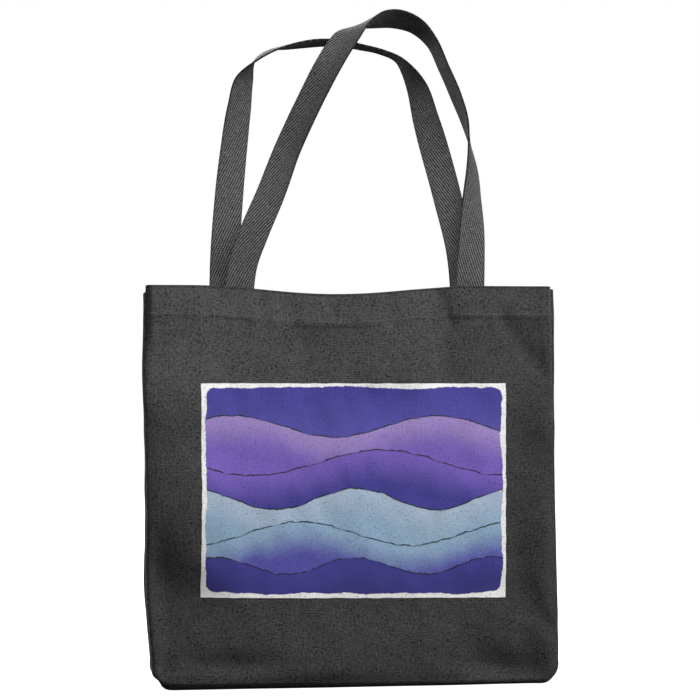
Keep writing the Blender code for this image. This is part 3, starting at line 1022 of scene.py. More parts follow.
@dataclass(frozen=True)
class WebbingHandle:
    """One length of woven webbing, sewn in at both feet."""

    name: str
    stations: tuple[tuple[float, ...], ...]
    top_shade: float = 0.0
    top_shade_above: Slope = Slope(440 * MM, 90 * MM)
    top_shade_side: Slope = Slope(-0.4, 1.0, 0.4)
    cup: float = math.radians(7)
    cup_wave: float = 90 * MM
    curled: Slope = Slope(-0.35, 1.1)
    width: float = 27 * MM
    thickness: float = 1.8 * MM
    steps: int = 420
    columns: int = 12

    def shares(self) -> Array:
        """Columns across the webbing, from -1 to 1, closer together at its edges."""
        return np.sin(np.linspace(-math.pi / 2, math.pi / 2, self.columns + 1))[None, :]

    def places(self) -> tuple[Array, Array]:
        """Where the webbing's crossings go, and how far along it each row is."""
        path = smooth_path(self.stations, self.steps + 1)
        middle = path[:, :3] * MM
        turn, curl = np.radians(path[:, 3:5]).T[..., None]
        along = np.gradient(middle, axis=0)
        along /= np.linalg.norm(along, axis=1)[:, None]
        inward = np.cross(along, (0.0, -1.0, 0.0))
        inward /= np.linalg.norm(inward, axis=1)[:, None]
        forward = np.cross(inward, along)
        legs = np.linalg.norm(np.diff(middle, axis=0), axis=1)
        run = np.concatenate(([0.0], np.cumsum(legs)))[:, None]
        share = self.shares()
        between = (share[:, 1:] + share[:, :-1]) / 2
        cup = self.cup * soft_noise(run, 0 * run, self.cup_wave, 72) * between
        slant = (turn - curl * self.curled.at(between) + cup)[..., None]
        steps = np.cos(slant) * inward[:, None, :] + np.sin(slant) * forward[:, None, :]
        offset = np.cumsum(steps * np.diff(share)[..., None], axis=1) * self.width / 2
        offset = np.concatenate((np.zeros_like(offset[:, :1]), offset), axis=1)
        offset -= offset[:, self.columns // 2][:, None, :]
        return middle[:, None, :] + offset, run

    def build(self) -> bpy.types.Object:
        """The webbing as one closed piece."""
        places, run = self.places()
        share = self.shares()
        from_middle = np.abs(run - run[-1] / 2)
        cut = np.stack(np.broadcast_arrays(-share * self.width / 2, from_middle), -1)
        # The selvedges are 70 % darker; the front handle is painted darker above 440 mm, most on its
        # inner half, as painted shade.
        selvedge = np.abs(share) ** 24
        held = self.top_shade * self.top_shade_above.at(places[..., 2]) * self.top_shade_side.at(share)
        webbing = shaped_grid(self.name, places, cut, 0.0, (1.0 - 0.7 * selvedge) * (1.0 - held))
        thicken(webbing, self.thickness, 0.45 * MM)
        return webbing


# ---------------------------------------------------------------- stitching


@dataclass(frozen=True)
class StitchRow:
    """Rows of thread on the cloth; one stitch is modelled and then copied."""

    name: str
    length: float = 2.9 * MM
    pitch: float = 3.7 * MM
    thread: float = 0.62 * MM
    sunk: float = 0.05 * MM
    dive: float = 0.45
    slant: float = 0.05

    def stitch(self) -> tuple[Array, list[tuple[int, ...]]]:
        """One stitch along X, proud of the cloth in Z, with its ends diving into it."""
        bpy.ops.object.select_all(action="DESELECT")
        bpy.ops.mesh.primitive_uv_sphere_add(
            segments=6, ring_count=6, radius=0.5, rotation=(0, math.pi / 2, 0)
        )
        ball = bpy.context.active_object
        bpy.ops.object.transform_apply(location=False, rotation=True, scale=False)
        bpy.ops.object.mode_set(mode="EDIT")
        bpy.ops.mesh.select_all(action="SELECT")
        bpy.ops.transform.resize(value=(self.length, self.thread, self.thread))
        bpy.ops.object.mode_set(mode="OBJECT")
        points = np.array([vertex.co[:] for vertex in ball.data.vertices])
        points[:, 2] -= self.dive * self.thread * (2 * points[:, 0] / self.length) ** 4
        faces = [tuple(face.vertices) for face in ball.data.polygons]
        bpy.data.objects.remove(ball, do_unlink=True)
        return points, faces

    def build(self, lines: list[tuple[Array, Array]]) -> bpy.types.Object:
        """All the rows as one piece.

        Args:
            lines: For each row its places on the cloth's surface, close together, and the
                way the cloth faces at each of them.

        Returns:
            The piece.
        """
        points, faces = self.stitch()
        chance = np.random.default_rng(81)
        all_points = []
        all_faces = []
        for places, facing in lines:
            legs = np.linalg.norm(np.diff(places, axis=0), axis=1)
            at = np.concatenate(([0.0], np.cumsum(legs)))
            for middle in np.arange(self.pitch / 2, at[-1], self.pitch):
                ends = (middle - self.length / 2, middle + self.length / 2)
                tail, head, here = (
                    np.array([np.interp(place, at, places[:, axis]) for axis in range(3)])
                    for place in (*ends, middle)
                )
                out = np.array([np.interp(middle, at, facing[:, axis]) for axis in range(3)])
                along = (head - tail) / np.linalg.norm(head - tail)
                beside = np.cross(out, along)
                beside /= np.linalg.norm(beside)
                up = np.cross(along, beside)
                slant = chance.normal(0.0, self.slant)
                turned = along * math.cos(slant) + beside * math.sin(slant)
                across = np.cross(up, turned)
                copy = here + up * self.sunk + points @ np.stack((turned, across, up))
                start = sum(len(done) for done in all_points)
                all_points.append(copy)
                all_faces.extend(tuple(start + corner for corner in face) for face in faces)
        mesh = bpy.data.meshes.new(self.name)
        mesh.from_pydata(np.concatenate(all_points).tolist(), [], all_faces)
        mesh.shade_smooth()
        piece = bpy.data.objects.new(self.name, mesh)
        bpy.context.scene.collection.objects.link(piece)
        return piece


@dataclass(frozen=True)
class PanelSewing:
    """The rows of stitches that show on one panel."""

    panel: PanelCut
    margin: float = 4 * MM
    box_half_width: float = 11.5 * MM
    box_top: float = 3 * MM
    box_bottom: float = 26.2 * MM
    sample: float = 1.0 * MM

    def on_cloth(self, x: Array, z: Array) -> tuple[Array, Array]:
        """Places on the outside of the panel, and the way it faces there."""
        facing = self.panel.outward(x, z)
        return self.panel.surface(x, z) + facing * self.panel.shape.canvas / 2, facing

    def segment(self, start: Place, end: Place) -> tuple[Array, Array]:
        """A straight row; each end is its x and its depth below the mouth."""
        count = math.ceil(math.dist(start, end) / self.sample) + 1
        x = np.linspace(start[0], end[0], count)
        below = np.linspace(start[1], end[1], count)
        return self.on_cloth(x, self.panel.shape.mouth(x) - below)

    def hem_row(self) -> list[tuple[Array, Array]]:
        """The row that holds the hem, from seam to seam."""
        end = self.panel.shape.half_width - self.margin
        drop = self.panel.shape.stitch_drop
        return [self.segment((-end, drop), (end, drop))]

    def foot_boxes(self) -> list[tuple[Array, Array]]:
        """A crossed box of stitches over each foot of the handle."""
        rows = []
        for centre in self.panel.relief.feet:
            left = centre - self.box_half_width
            right = centre + self.box_half_width
            top_left, top_right = (left, self.box_top), (right, self.box_top)
            bottom_left, bottom_right = (left, self.box_bottom), (right, self.box_bottom)
            sides = ((bottom_left, top_left), (top_left, top_right), (top_right, bottom_right))
            crossed = ((top_left, bottom_right), (bottom_left, top_right))
            rows.extend(self.segment(*ends) for ends in (*sides, *crossed))
        return rows


# ---------------------------------------------------------------- finishes


class Wiring:
    """Short calls that add and join nodes in one shader tree."""

    def __init__(self, tree: bpy.types.NodeTree) -> None:
        """Work in this tree."""
        self.tree = tree

    def put(self, value, socket: Socket) -> None:
        """Join a socket's output to this input, or set the input to a plain value."""
        if isinstance(value, Socket):
            self.tree.links.new(value, socket)
        else:
            socket.default_value = value

    def node(self, kind: str, **settings) -> bpy.types.Node:
        """A new node with these settings."""
        made = self.tree.nodes.new(kind)
        for name, value in settings.items():
            setattr(made, name, value)
        return made

    def math(self, operation: str, *values, clamp: bool = False) -> Socket:
        """The result of one Math node."""
        made = self.node("ShaderNodeMath", operation=operation, use_clamp=clamp)
        for value, socket in zip(values, made.inputs):
            self.put(value, socket)
        return made.outputs[0]

    add = partialmethod(math, "ADD")
    subtract = partialmethod(math, "SUBTRACT")
    multiply = partialmethod(math, "MULTIPLY")
    divide = partialmethod(math, "DIVIDE")
    multiply_add = partialmethod(math, "MULTIPLY_ADD")
    modulo = partialmethod(math, "FLOORED_MODULO")
    floor = partialmethod(math, "FLOOR")
    fract = partialmethod(math, "FRACT")
    sine = partialmethod(math, "SINE")
    sqrt = partialmethod(math, "SQRT")
    absolute = partialmethod(math, "ABSOLUTE")
    minimum = partialmethod(math, "MINIMUM")
    maximum = partialmethod(math, "MAXIMUM")
    less_than = partialmethod(math, "LESS_THAN")

    def swung(self, base, noise, amount: float) -> Socket:
        """A base value moved up and down by a noise that lies about 0.5."""
        return self.multiply_add(self.subtract(noise, 0.5), amount, base)

    def arch(self, value) -> Socket:
        """A rounded rise and fall over each whole step of a value."""
        return self.sine(self.multiply(self.fract(value), math.pi))

    def chance(self, u, v) -> Socket:
        """One random number from 0 to 1 for each whole step of u and v."""
        made = self.node("ShaderNodeTexWhiteNoise", noise_dimensions="2D")
        self.put(self.joined(self.floor(u), self.floor(v)), made.inputs["Vector"])
        return made.outputs["Value"]

    def flat_cut(self) -> Socket:
        """The place on the piece's flat cut, in metres."""
        return self.node("ShaderNodeUVMap").outputs["UV"]

    def mark(self, name: str) -> Socket:
        """The value of a mark kept on the mesh."""
        return self.node("ShaderNodeAttribute", attribute_name=name).outputs["Fac"]

    def toned(self, colour, tone) -> Socket:
        """A colour made lighter or darker."""
        return self.mix(1.0, colour, self.joined(tone, tone, tone), "MULTIPLY")

    def emboss(self, shader: bpy.types.Node, height, strength: float, distance: float) -> None:
        """Give the shader a fine relief from this height."""
        bump = self.node("ShaderNodeBump")
        bump.inputs["Strength"].default_value = strength
        bump.inputs["Distance"].default_value = distance
        self.put(height, bump.inputs["Height"])
        self.put(bump.outputs["Normal"], shader.inputs["Normal"])

    def scaled(self, vector, factors: tuple[float, float, float]) -> Socket:
        """A vector with each part multiplied."""
        made = self.node("ShaderNodeVectorMath", operation="MULTIPLY")
        self.put(vector, made.inputs[0])
        self.put(factors, made.inputs[1])
        return made.outputs[0]

    def split(self, vector) -> tuple[Socket, Socket]:
        """The x and y of a vector."""
        made = self.node("ShaderNodeSeparateXYZ")
        self.put(vector, made.inputs[0])
        return made.outputs["X"], made.outputs["Y"]

    def joined(self, x, y, z=0.0) -> Socket:
        """A vector made of three numbers."""
        made = self.node("ShaderNodeCombineXYZ")
        for value, socket in zip((x, y, z), made.inputs):
            self.put(value, socket)
        return made.outputs[0]

    def noise(self, vector, scale: float, detail: float = 2.0, rough: float = 0.5) -> Socket:
        """Smooth noise from 0 to 1."""
        made = self.node("ShaderNodeTexNoise", noise_dimensions="3D")
        self.put(vector, made.inputs["Vector"])
        self.put(scale, made.inputs["Scale"])
        self.put(detail, made.inputs["Detail"])
        self.put(rough, made.inputs["Roughness"])
        return made.outputs["Fac"]

    def ramp(self, value, low, high, start=0.0, end=1.0) -> Socket:
        """A soft step from start to end as the value goes from low to high."""
        made = self.node("ShaderNodeMapRange", interpolation_type="SMOOTHSTEP", clamp=True)
        names = ("Value", "From Min", "From Max", "To Min", "To Max")
        for given, name in zip((value, low, high, start, end), names):
            self.put(given, made.inputs[name])
        return made.outputs[0]

    def mix(self, factor, first, second, blend: str = "MIX") -> Socket:
        """Two colours mixed."""
        made = self.node("ShaderNodeMix", data_type="RGBA", blend_type=blend)
        self.put(factor, made.inputs["Factor"])
        self.put(first, made.inputs["A"])
        self.put(second, made.inputs["B"])
        return made.outputs["Result"]

    def group(self, tree: bpy.types.NodeTree, **values) -> bpy.types.Node:
        """A placed group with its inputs set; an underscore in a name stands for a space."""
        made = self.node("ShaderNodeGroup", node_tree=tree)
        for name, value in values.items():
            self.put(value, made.inputs[name.replace("_", " ")])
        return made


def new_group(name: str, inputs: dict[str, tuple[str, float | None]], outputs: tuple[str, ...]) -> tuple:
    """An empty node group.

    Args:
        name: The group's name.
        inputs: Each input's kind, "Vector" or "Float", and its first value.
        outputs: Names of number outputs.

    Returns:
        The group, its wiring, its inputs node and its outputs node.
    """
    tree = bpy.data.node_groups.new(name, "ShaderNodeTree")
    for label, (kind, first) in inputs.items():
        socket = tree.interface.new_socket(label, in_out="INPUT", socket_type=f"NodeSocket{kind}")
        if first is not None:
            socket.default_value = first
    for label in outputs:
        tree.interface.new_socket(label, in_out="OUTPUT", socket_type="NodeSocketFloat")
    wiring = Wiring(tree)
    return tree, wiring, wiring.node("NodeGroupInput"), wiring.node("NodeGroupOutput")


class ClothEffects:
    """The node groups that the finishes share."""

    def __init__(self) -> None:
        """Build each group once."""
        self.plain_weave = self.make_plain_weave()
        self.twill = self.make_twill()
        self.mottle = self.make_mottle()
        self.rubbed_and_lit = self.make_rubbed_and_lit()

    @staticmethod
    def lines(
        w: Wiring, cloth: Socket, scale: tuple[float, float, float], shift: Place, amount: float
    ) -> Socket:
        """Fine light marks, each with a dark one beside it, as thick and thin yarns make.

        Args:
            w: The group's wiring.
            cloth: The place on the flat cut.
            scale: How many marks there are to the metre, each way.
            shift: How far off the dark mark lies, in marks.
            amount: The marks' strength.

        Returns:
            The marks, about 0.
        """
        here = w.scaled(cloth, scale)
        u, v = w.split(here)
        beside = w.joined(w.add(u, shift[0]), w.add(v, shift[1]))
        pair = w.subtract(w.noise(here, 1.0, 0.0), w.noise(beside, 1.0, 0.0))
        return w.multiply(pair, amount)

    @staticmethod
    def make_plain_weave() -> bpy.types.NodeTree:
        """Over-and-under yarns, thick and thin, with a few dark open specks."""
        tree, w, given, result = new_group(
            "plain_weave",
            {"Cloth": ("Vector", None), "Yarn": ("Float", 0.0009), "Slub": ("Float", 0.5)},
            ("Height", "Tone", "Specks"),
        )
        cloth = given.outputs["Cloth"]
        yarn = given.outputs["Yarn"]
        waver = w.noise(cloth, 130.0, 2.0)
        waver_two = w.noise(w.scaled(cloth, (0.8, 0.8, 1.0)), 130.0, 2.0)
        u, v = w.split(cloth)
        u = w.add(w.divide(u, yarn), w.multiply(waver, 0.8))
        v = w.add(w.divide(v, yarn), w.multiply(waver_two, 0.6))
        parity = w.modulo(w.add(w.floor(u), w.floor(v)), 2.0)
        round_u, round_v = w.arch(u), w.arch(v)
        warp = w.multiply(round_u, w.multiply_add(round_v, 0.4, 0.3))
        weft = w.multiply(round_v, w.multiply_add(round_u, 0.5, 0.5))
        over = w.less_than(parity, 0.5)
        warp_share = w.multiply(warp, over)
        height = w.multiply_add(weft, w.subtract(1.0, over), warp_share)
        thick_weft = ClothEffects.lines(w, cloth, (260.0, 720.0, 1.0), (0.0, 0.75), 0.45)
        thick_warp = ClothEffects.lines(w, cloth, (520.0, 240.0, 1.0), (0.75, 0.0), 0.4)
        crossing = w.swung(0.0, w.chance(u, v), 0.26)
        rows = w.multiply(w.sine(w.multiply(v, math.pi)), 0.1)
        slubs = w.add(w.add(thick_weft, thick_warp), w.add(crossing, rows))
        swing = w.multiply(slubs, given.outputs["Slub"])
        tone = w.add(w.multiply_add(height, 0.9, 0.05), swing)
        holes = w.noise(cloth, 500.0, 1.0)
        patches = w.noise(cloth, 60.0, 1.0)
        threshold = w.multiply_add(patches, -0.2, 0.736)
        speck = w.ramp(w.subtract(holes, threshold), -0.02, 0.04)
        w.put(height, result.inputs["Height"])
        w.put(tone, result.inputs["Tone"])
        w.put(speck, result.inputs["Specks"])
        return tree

    @staticmethod
    def make_twill() -> bpy.types.NodeTree:
        """Fine warp yarns that float over two picks and step sideways in lines."""
        tree, w, given, result = new_group(
            "webbing_twill",
            {"Cloth": ("Vector", None), "Yarn": ("Float", 0.0006), "Pick": ("Float", 0.00155)},
            ("Height", "Tone"),
        )
        cloth = given.outputs["Cloth"]
        u, v = w.split(cloth)
        waver = w.noise(cloth, 160.0, 2.0)
        u = w.add(w.divide(u, given.outputs["Yarn"]), w.multiply(waver, 0.9))
        picks = w.divide(v, given.outputs["Pick"])
        phase = w.subtract(w.multiply(picks, 0.25), w.multiply(w.floor(u), 0.25))
        phase = w.add(phase, w.multiply(waver, 0.25))
        float_up = w.ramp(w.sine(w.multiply(phase, math.tau)), -0.45, 0.75)
        raised = w.multiply_add(float_up, 0.85, 0.15)
        height = w.multiply(w.multiply_add(w.arch(u), 0.5, 0.5), raised)
        height = w.multiply(height, w.multiply_add(w.arch(picks), 0.75, 0.25))
        uneven = w.noise(w.scaled(cloth, (1600.0, 260.0, 1.0)), 1.0, 1.0)
        tone = w.swung(height, uneven, 0.5)
        tone = w.swung(tone, w.chance(w.multiply(u, 0.5), picks), 0.14)
        w.put(height, result.inputs["Height"])
        w.put(tone, result.inputs["Tone"])
        return tree

    @staticmethod
    def make_mottle() -> bpy.types.NodeTree:
        """Slow changes of tone from washing and dyeing."""
        tree, w, given, result = new_group(
            "mottle", {"Cloth": ("Vector", None), "Amount": ("Float", 0.2)}, ("Tone",)
        )
        cloth = given.outputs["Cloth"]
        broad = w.noise(cloth, 14.0, 3.0, 0.55)
        close = w.noise(cloth, 110.0, 2.0, 0.6)
        both = w.add(w.multiply(broad, 0.5), w.multiply(close, 0.65))
        swing = w.multiply(w.subtract(both, 0.575), given.outputs["Amount"])
        w.put(w.add(1.0, swing), result.inputs["Tone"])
        return tree

    @staticmethod
    def make_rubbed_and_lit() -> bpy.types.NodeTree:
        """Where edges are paler, in patches: rubbed places and painted highlights."""
        tree, w, given, result = new_group(
            "rubbed_and_lit_edges", {"Cloth": ("Vector", None), "Edge": ("Float", 0.0)}, ("Mask",)
        )
        patches = w.ramp(w.noise(given.outputs["Cloth"], 240.0, 3.0, 0.7), 0.35, 0.65)
        edge = w.ramp(given.outputs["Edge"], 0.25, 0.9)
        w.put(w.multiply(edge, w.multiply_add(patches, 0.7, 0.3)), result.inputs["Mask"])
        return tree


def new_material(
    name: str, roughness: float, sheen: float
) -> tuple[bpy.types.Material, Wiring, bpy.types.Node]:
    """A cloth material with its shader's own constants set.

    Args:
        name: The material's name.
        roughness: Its plain roughness.
        sheen: How much light its fuzz catches at a slant.

    Returns:
        The material, its wiring and its shader.
    """
    material = bpy.data.materials.new(name)
    material.use_nodes = True
    shader = material.node_tree.nodes["Principled BSDF"]
    shader.inputs["Roughness"].default_value = roughness
    shader.inputs["Specular IOR Level"].default_value = 0.2
    shader.inputs["Sheen Weight"].default_value = sheen
    shader.inputs["Sheen Roughness"].default_value = 0.5
    return material, Wiring(material.node_tree), shader


def grey(value: float) -> Colour:
    """A neutral grey."""
    return (value, value, value, 1.0)


@dataclass(frozen=True)
class ClothFinish:
    """Dyed cotton cloth, from its yarns up to its mottled colour, rubbed and painted with highlight and
    shade.
    """

    name: str
    roughness: float
    sheen: float
    yarn: float
    dark: float
    pale: float
    rubbed_and_lit_pale: float
    rubbed_and_lit: float
    mottle: float
    bump: float
    bump_strength: float

    def weave(self, w: Wiring, effects: ClothEffects, cloth: Socket) -> bpy.types.Node:
        """The group that draws the yarns; each kind of cloth places its own."""
        raise NotImplementedError

    def specked(self, w: Wiring, weave: bpy.types.Node, colour: Socket) -> Socket:
        """The colour with what shows between the yarns; nothing in a close weave."""
        return colour

    def material(self, effects: ClothEffects) -> bpy.types.Material:
        """The cloth, from the piece's own map of its flat cut."""
        made, w, shader = new_material(self.name, self.roughness, self.sheen)
        cloth = w.flat_cut()
        weave = self.weave(w, effects, cloth)
        mottle = w.group(effects.mottle, Cloth=cloth, Amount=self.mottle)
        rubbed_and_lit_mask = w.group(effects.rubbed_and_lit, Cloth=cloth, Edge=w.mark(WEAR_AND_HIGHLIGHT))
        colour = w.mix(weave.outputs["Tone"], grey(self.dark), grey(self.pale))
        # Rubbed places and painted highlights go towards a paler grey; the mesh's mark then darkens the
        # colour, mostly with painted shade.
        colour = w.mix(w.multiply(rubbed_and_lit_mask.outputs["Mask"], self.rubbed_and_lit), colour, grey(self.rubbed_and_lit_pale))
        colour = w.toned(colour, w.multiply(mottle.outputs["Tone"], w.mark(TONE_AND_PAINTED_SHADE)))
        w.put(self.specked(w, weave, colour), shader.inputs["Base Color"])
        w.emboss(shader, weave.outputs["Height"], self.bump_strength, self.bump)
        return made


@dataclass(frozen=True)
class CanvasFinish(ClothFinish):
    """Dyed plain-weave canvas."""

    name: str = "charcoal_canvas"
    roughness: float = 0.92
    sheen: float = 0.08
    yarn: float = 1.02 * MM
    dark: float = 0.006
    pale: float = 0.133
    rubbed_and_lit_pale: float = 0.14
    rubbed_and_lit: float = 0.35
    mottle: float = 0.75
    bump: float = 0.35 * MM
    bump_strength: float = 0.5
    slub: float = 0.77
    speck: float = 0.005
    open_weave: float = 0.95

    def weave(self, w: Wiring, effects: ClothEffects, cloth: Socket) -> bpy.types.Node:
        """Plain weave, over one yarn and under the next."""
        return w.group(effects.plain_weave, Cloth=cloth, Yarn=self.yarn, Slub=self.slub)

    def specked(self, w: Wiring, weave: bpy.types.Node, colour: Socket) -> Socket:
        """The colour with the dark specks of an open weave."""
        return w.mix(w.multiply(weave.outputs["Specks"], self.open_weave), colour, grey(self.speck))


@dataclass(frozen=True)
class WebbingFinish(ClothFinish):
    """Heavy cotton webbing in twill."""

    name: str = "charcoal_webbing"
    roughness: float = 0.85
    sheen: float = 0.1
    yarn: float = 0.6 * MM
    dark: float = 0.003
    pale: float = 0.252
    rubbed_and_lit_pale: float = 0.3024
    rubbed_and_lit: float = 0.4
    mottle: float = 0.4
    bump: float = 0.4 * MM
    bump_strength: float = 0.6
    pick: float = 1.55 * MM

    def weave(self, w: Wiring, effects: ClothEffects, cloth: Socket) -> bpy.types.Node:
        """Twill, in yarns that float over two picks."""
        return w.group(effects.twill, Cloth=cloth, Yarn=self.yarn, Pick=self.pick)


@dataclass(frozen=True)
class ThreadFinish:
    """Matt sewing thread, a shade paler than the cloth."""

    name: str = "sewing_thread"
    dark: float = 0.045
    pale: float = 0.135

    def material(self) -> bpy.types.Material:
        """The thread, with the slant of its twist."""
        made, w, shader = new_material(self.name, 0.75, 0.1)
        place = w.node("ShaderNodeTexCoord").outputs["Object"]
        ply = w.noise(w.scaled(place, (900.0, 900.0, 2600.0)), 1.0, 1.0)
        w.put(w.mix(ply, grey(self.dark), grey(self.pale)), shader.inputs["Base Color"])
        return made


@dataclass(frozen=True)
class WaveBand:
    """One rolling band of the print: its upper edge, in shares of the picture's height."""

    level: float
    swing: float
    waves: float
    start: float
    upper: Colour
    lower: Colour


INDIGO = (0.062, 0.055, 0.30, 1.0)
DEEP_INDIGO = (0.045, 0.042, 0.22, 1.0)
VIOLET = (0.19, 0.12, 0.50, 1.0)
LAVENDER = (0.36, 0.26, 0.58, 1.0)
PALE_BLUE = (0.30, 0.45, 0.61, 1.0)
MIST = (0.42, 0.52, 0.66, 1.0)
SKY_INDIGO = (0.10, 0.09, 0.40, 1.0)
CHARCOAL = (0.026, 0.026, 0.027, 1.0)
BORDER = (0.93, 0.92, 0.91, 1.0)

WAVE_BANDS = (
    WaveBand(0.80, 0.050, 1.5, 0.10, LAVENDER, VIOLET),
    WaveBand(0.63, 0.060, 1.2, 0.55, VIOLET, INDIGO),
    WaveBand(0.46, 0.050, 1.9, 0.30, MIST, PALE_BLUE),
    WaveBand(0.30, 0.055, 1.4, 0.80, PALE_BLUE, SKY_INDIGO),
    WaveBand(0.15, 0.040, 2.2, 0.15, INDIGO, DEEP_INDIGO),
)


@dataclass(frozen=True)
class PrintFinish:
    """A washed-ink print of rolling wave bands inside a plain pale border."""

    width: float
    tall: float
    name: str = "washed_ink"
    border: float = 4.0 * MM
    rounding: float = 13 * MM
    line: float = 0.9 * MM
    yarn: float = 0.95 * MM
    slub: float = 0.9
    bump: float = 0.3 * MM
    bump_strength: float = 0.4
    brushed: float = 9 * MM
    bristled: float = 2.2 * MM
    soft_edge: float = 0.4 * MM
    worn_through: float = 0.3

    def margin(self, w: Wiring, x: Socket, z: Socket) -> Socket:
        """How far a place is inside the print's edge, with rounded corners.

        Args:
            w: The material's wiring.
            x: Distance from the print's left edge.
            z: Distance from its bottom edge.

        Returns:
            The distance, up to the rounding.
        """
        near_x = w.minimum(x, w.subtract(self.width, x))
        near_z = w.minimum(z, w.subtract(self.tall, z))
        gaps = [w.maximum(w.subtract(self.rounding, near), 0.0) for near in (near_x, near_z)]
        squares = w.add(*(w.multiply(gap, gap) for gap in gaps))
        return w.subtract(self.rounding, w.sqrt(squares))

    def bands(
        self,
        w: Wiring,
        x: Socket,
        z: Socket,
        wobble: Socket,
        wash: Socket,
    ) -> Socket:
        """The wave bands over the sky, each with a thin broken line along its edge.

        Args:
            w: The material's wiring.
            x: Distance from the print's left edge.
            z: Distance from its bottom edge.
            wobble: Noise that makes the edges unsteady.
            wash: Noise that makes the ink uneven.

        Returns:
            The picture's colour.
        """
        share_x = w.divide(x, self.width)
        share_z = w.divide(z, self.tall)
        drawn = w.mix(w.ramp(share_z, 0.75, 1.0), SKY_INDIGO, INDIGO)
        lines = 0.0
        for band in WAVE_BANDS:
            turn = w.multiply(w.add(w.multiply(share_x, band.waves), band.start), math.tau)
            edge = w.swung(w.multiply_add(w.sine(turn), band.swing, band.level), wobble, 0.03)
            below = w.subtract(edge, share_z)
            fill = w.mix(w.ramp(w.swung(below, wash, 0.12), 0.0, 0.17), band.upper, band.lower)
            drawn = w.mix(w.ramp(below, -0.002, 0.002), drawn, fill)
            off = w.absolute(w.multiply(below, self.tall))
            lines = w.maximum(w.ramp(off, 0.3 * self.line, self.line, 1.0, 0.0), lines)
        broken = w.ramp(wobble, 0.36, 0.5, 0.35, 1.0)
        drawn = w.mix(w.multiply(lines, broken), drawn, CHARCOAL)
        return w.toned(drawn, w.multiply_add(wash, 0.34, 0.83))

    def material(self, effects: ClothEffects) -> bpy.types.Material:
        """The print, drawn in shares of its own width and height."""
        made, w, shader = new_material(self.name, 0.8, 0.04)
        cloth = w.flat_cut()
        x, z = w.split(cloth)
        wobble = w.noise(cloth, 70.0, 3.0, 0.6)
        wash = w.noise(cloth, 22.0, 4.0, 0.6)
        grain = w.noise(cloth, 900.0, 2.0, 0.6)
        loose = w.noise(cloth, 24.0, 2.0, 0.5)
        bristles = w.noise(cloth, 210.0, 2.0, 0.6)
        margin = w.swung(self.margin(w, x, z), loose, self.brushed)
        margin = w.swung(margin, bristles, self.bristled)
        inside = w.ramp(margin, self.border - self.soft_edge, self.border + self.soft_edge)
        colour = w.mix(inside, BORDER, self.bands(w, x, z, wobble, wash))
        weave = w.group(effects.plain_weave, Cloth=cloth, Yarn=self.yarn, Slub=self.slub)
        sunk = w.ramp(weave.outputs["Tone"], 0.0, 0.6, 0.72, 1.0)
        sunk = w.multiply(sunk, w.multiply_add(grain, 0.3, 0.85))
        colour = w.toned(colour, sunk)
        colour = w.mix(w.multiply(weave.outputs["Specks"], self.worn_through), colour, CHARCOAL)
        w.put(colour, shader.inputs["Base Color"])
        w.emboss(shader, weave.outputs["Height"], self.bump_strength, self.bump)
        return made


# ---------------------------------------------------------------- the studio


@dataclass(frozen=True)
class StudioCamera:
    """A level camera with a long lens, a little to the bag's left."""

    aim: tuple[float, float, float] = (-2.7 * MM, 0.0, 310.6 * MM)
    distance: float = 2.4
    azimuth: float = math.radians(-8.5)
    lens: float = 132.7
    sensor: float = 36.0

    def place(self) -> None:
        """Add the camera and make it the scene's own."""
        towards = Vector((-math.sin(self.azimuth), math.cos(self.azimuth), 0.0))
        where = Vector(self.aim) - self.distance * towards
        bpy.ops.object.camera_add(location=where, rotation=(math.pi / 2, 0.0, self.azimuth))
        camera = bpy.context.active_object
        camera.name = "studio_camera"
        camera.data.lens = self.lens
        camera.data.sensor_width = self.sensor
        camera.data.clip_end = 50.0
        bpy.context.scene.camera = camera


@dataclass(frozen=True)
class SoftBox:
    """One square soft light that faces the bag."""

    name: str
    azimuth: float
    elevation: float
    distance: float
    size: float
    power: float

    def place(self, aim: Vector) -> None:
        """Add the light; azimuth 0 stands in front, 90 on the right."""
        turn = math.radians(self.azimuth)
        lift = math.radians(self.elevation)
        way = Vector((math.sin(turn) * math.cos(lift), -math.cos(turn) * math.cos(lift), math.sin(lift)))
        facing = way.to_track_quat("Z", "Y").to_euler()
        bpy.ops.object.light_add(type="AREA", location=aim + self.distance * way, rotation=facing)
        light = bpy.context.active_object
        light.name = self.name
        light.data.shape = "SQUARE"
        light.data.size = self.size
        light.data.energy = self.power


SOFT_BOXES = (
    SoftBox("key_light", 4, 54, 1.45, 1.1, 17.0),
    SoftBox("front_light", 0, 30, 2.8, 1.4, 36.0),
    SoftBox("side_light", 72, 12, 2.6, 1.1, 32.0),
    SoftBox("back_light", 172, 34, 2.8, 1.6, 84.0),
    SoftBox("left_light", 214, 20, 2.8, 1.4, 40.0),
)


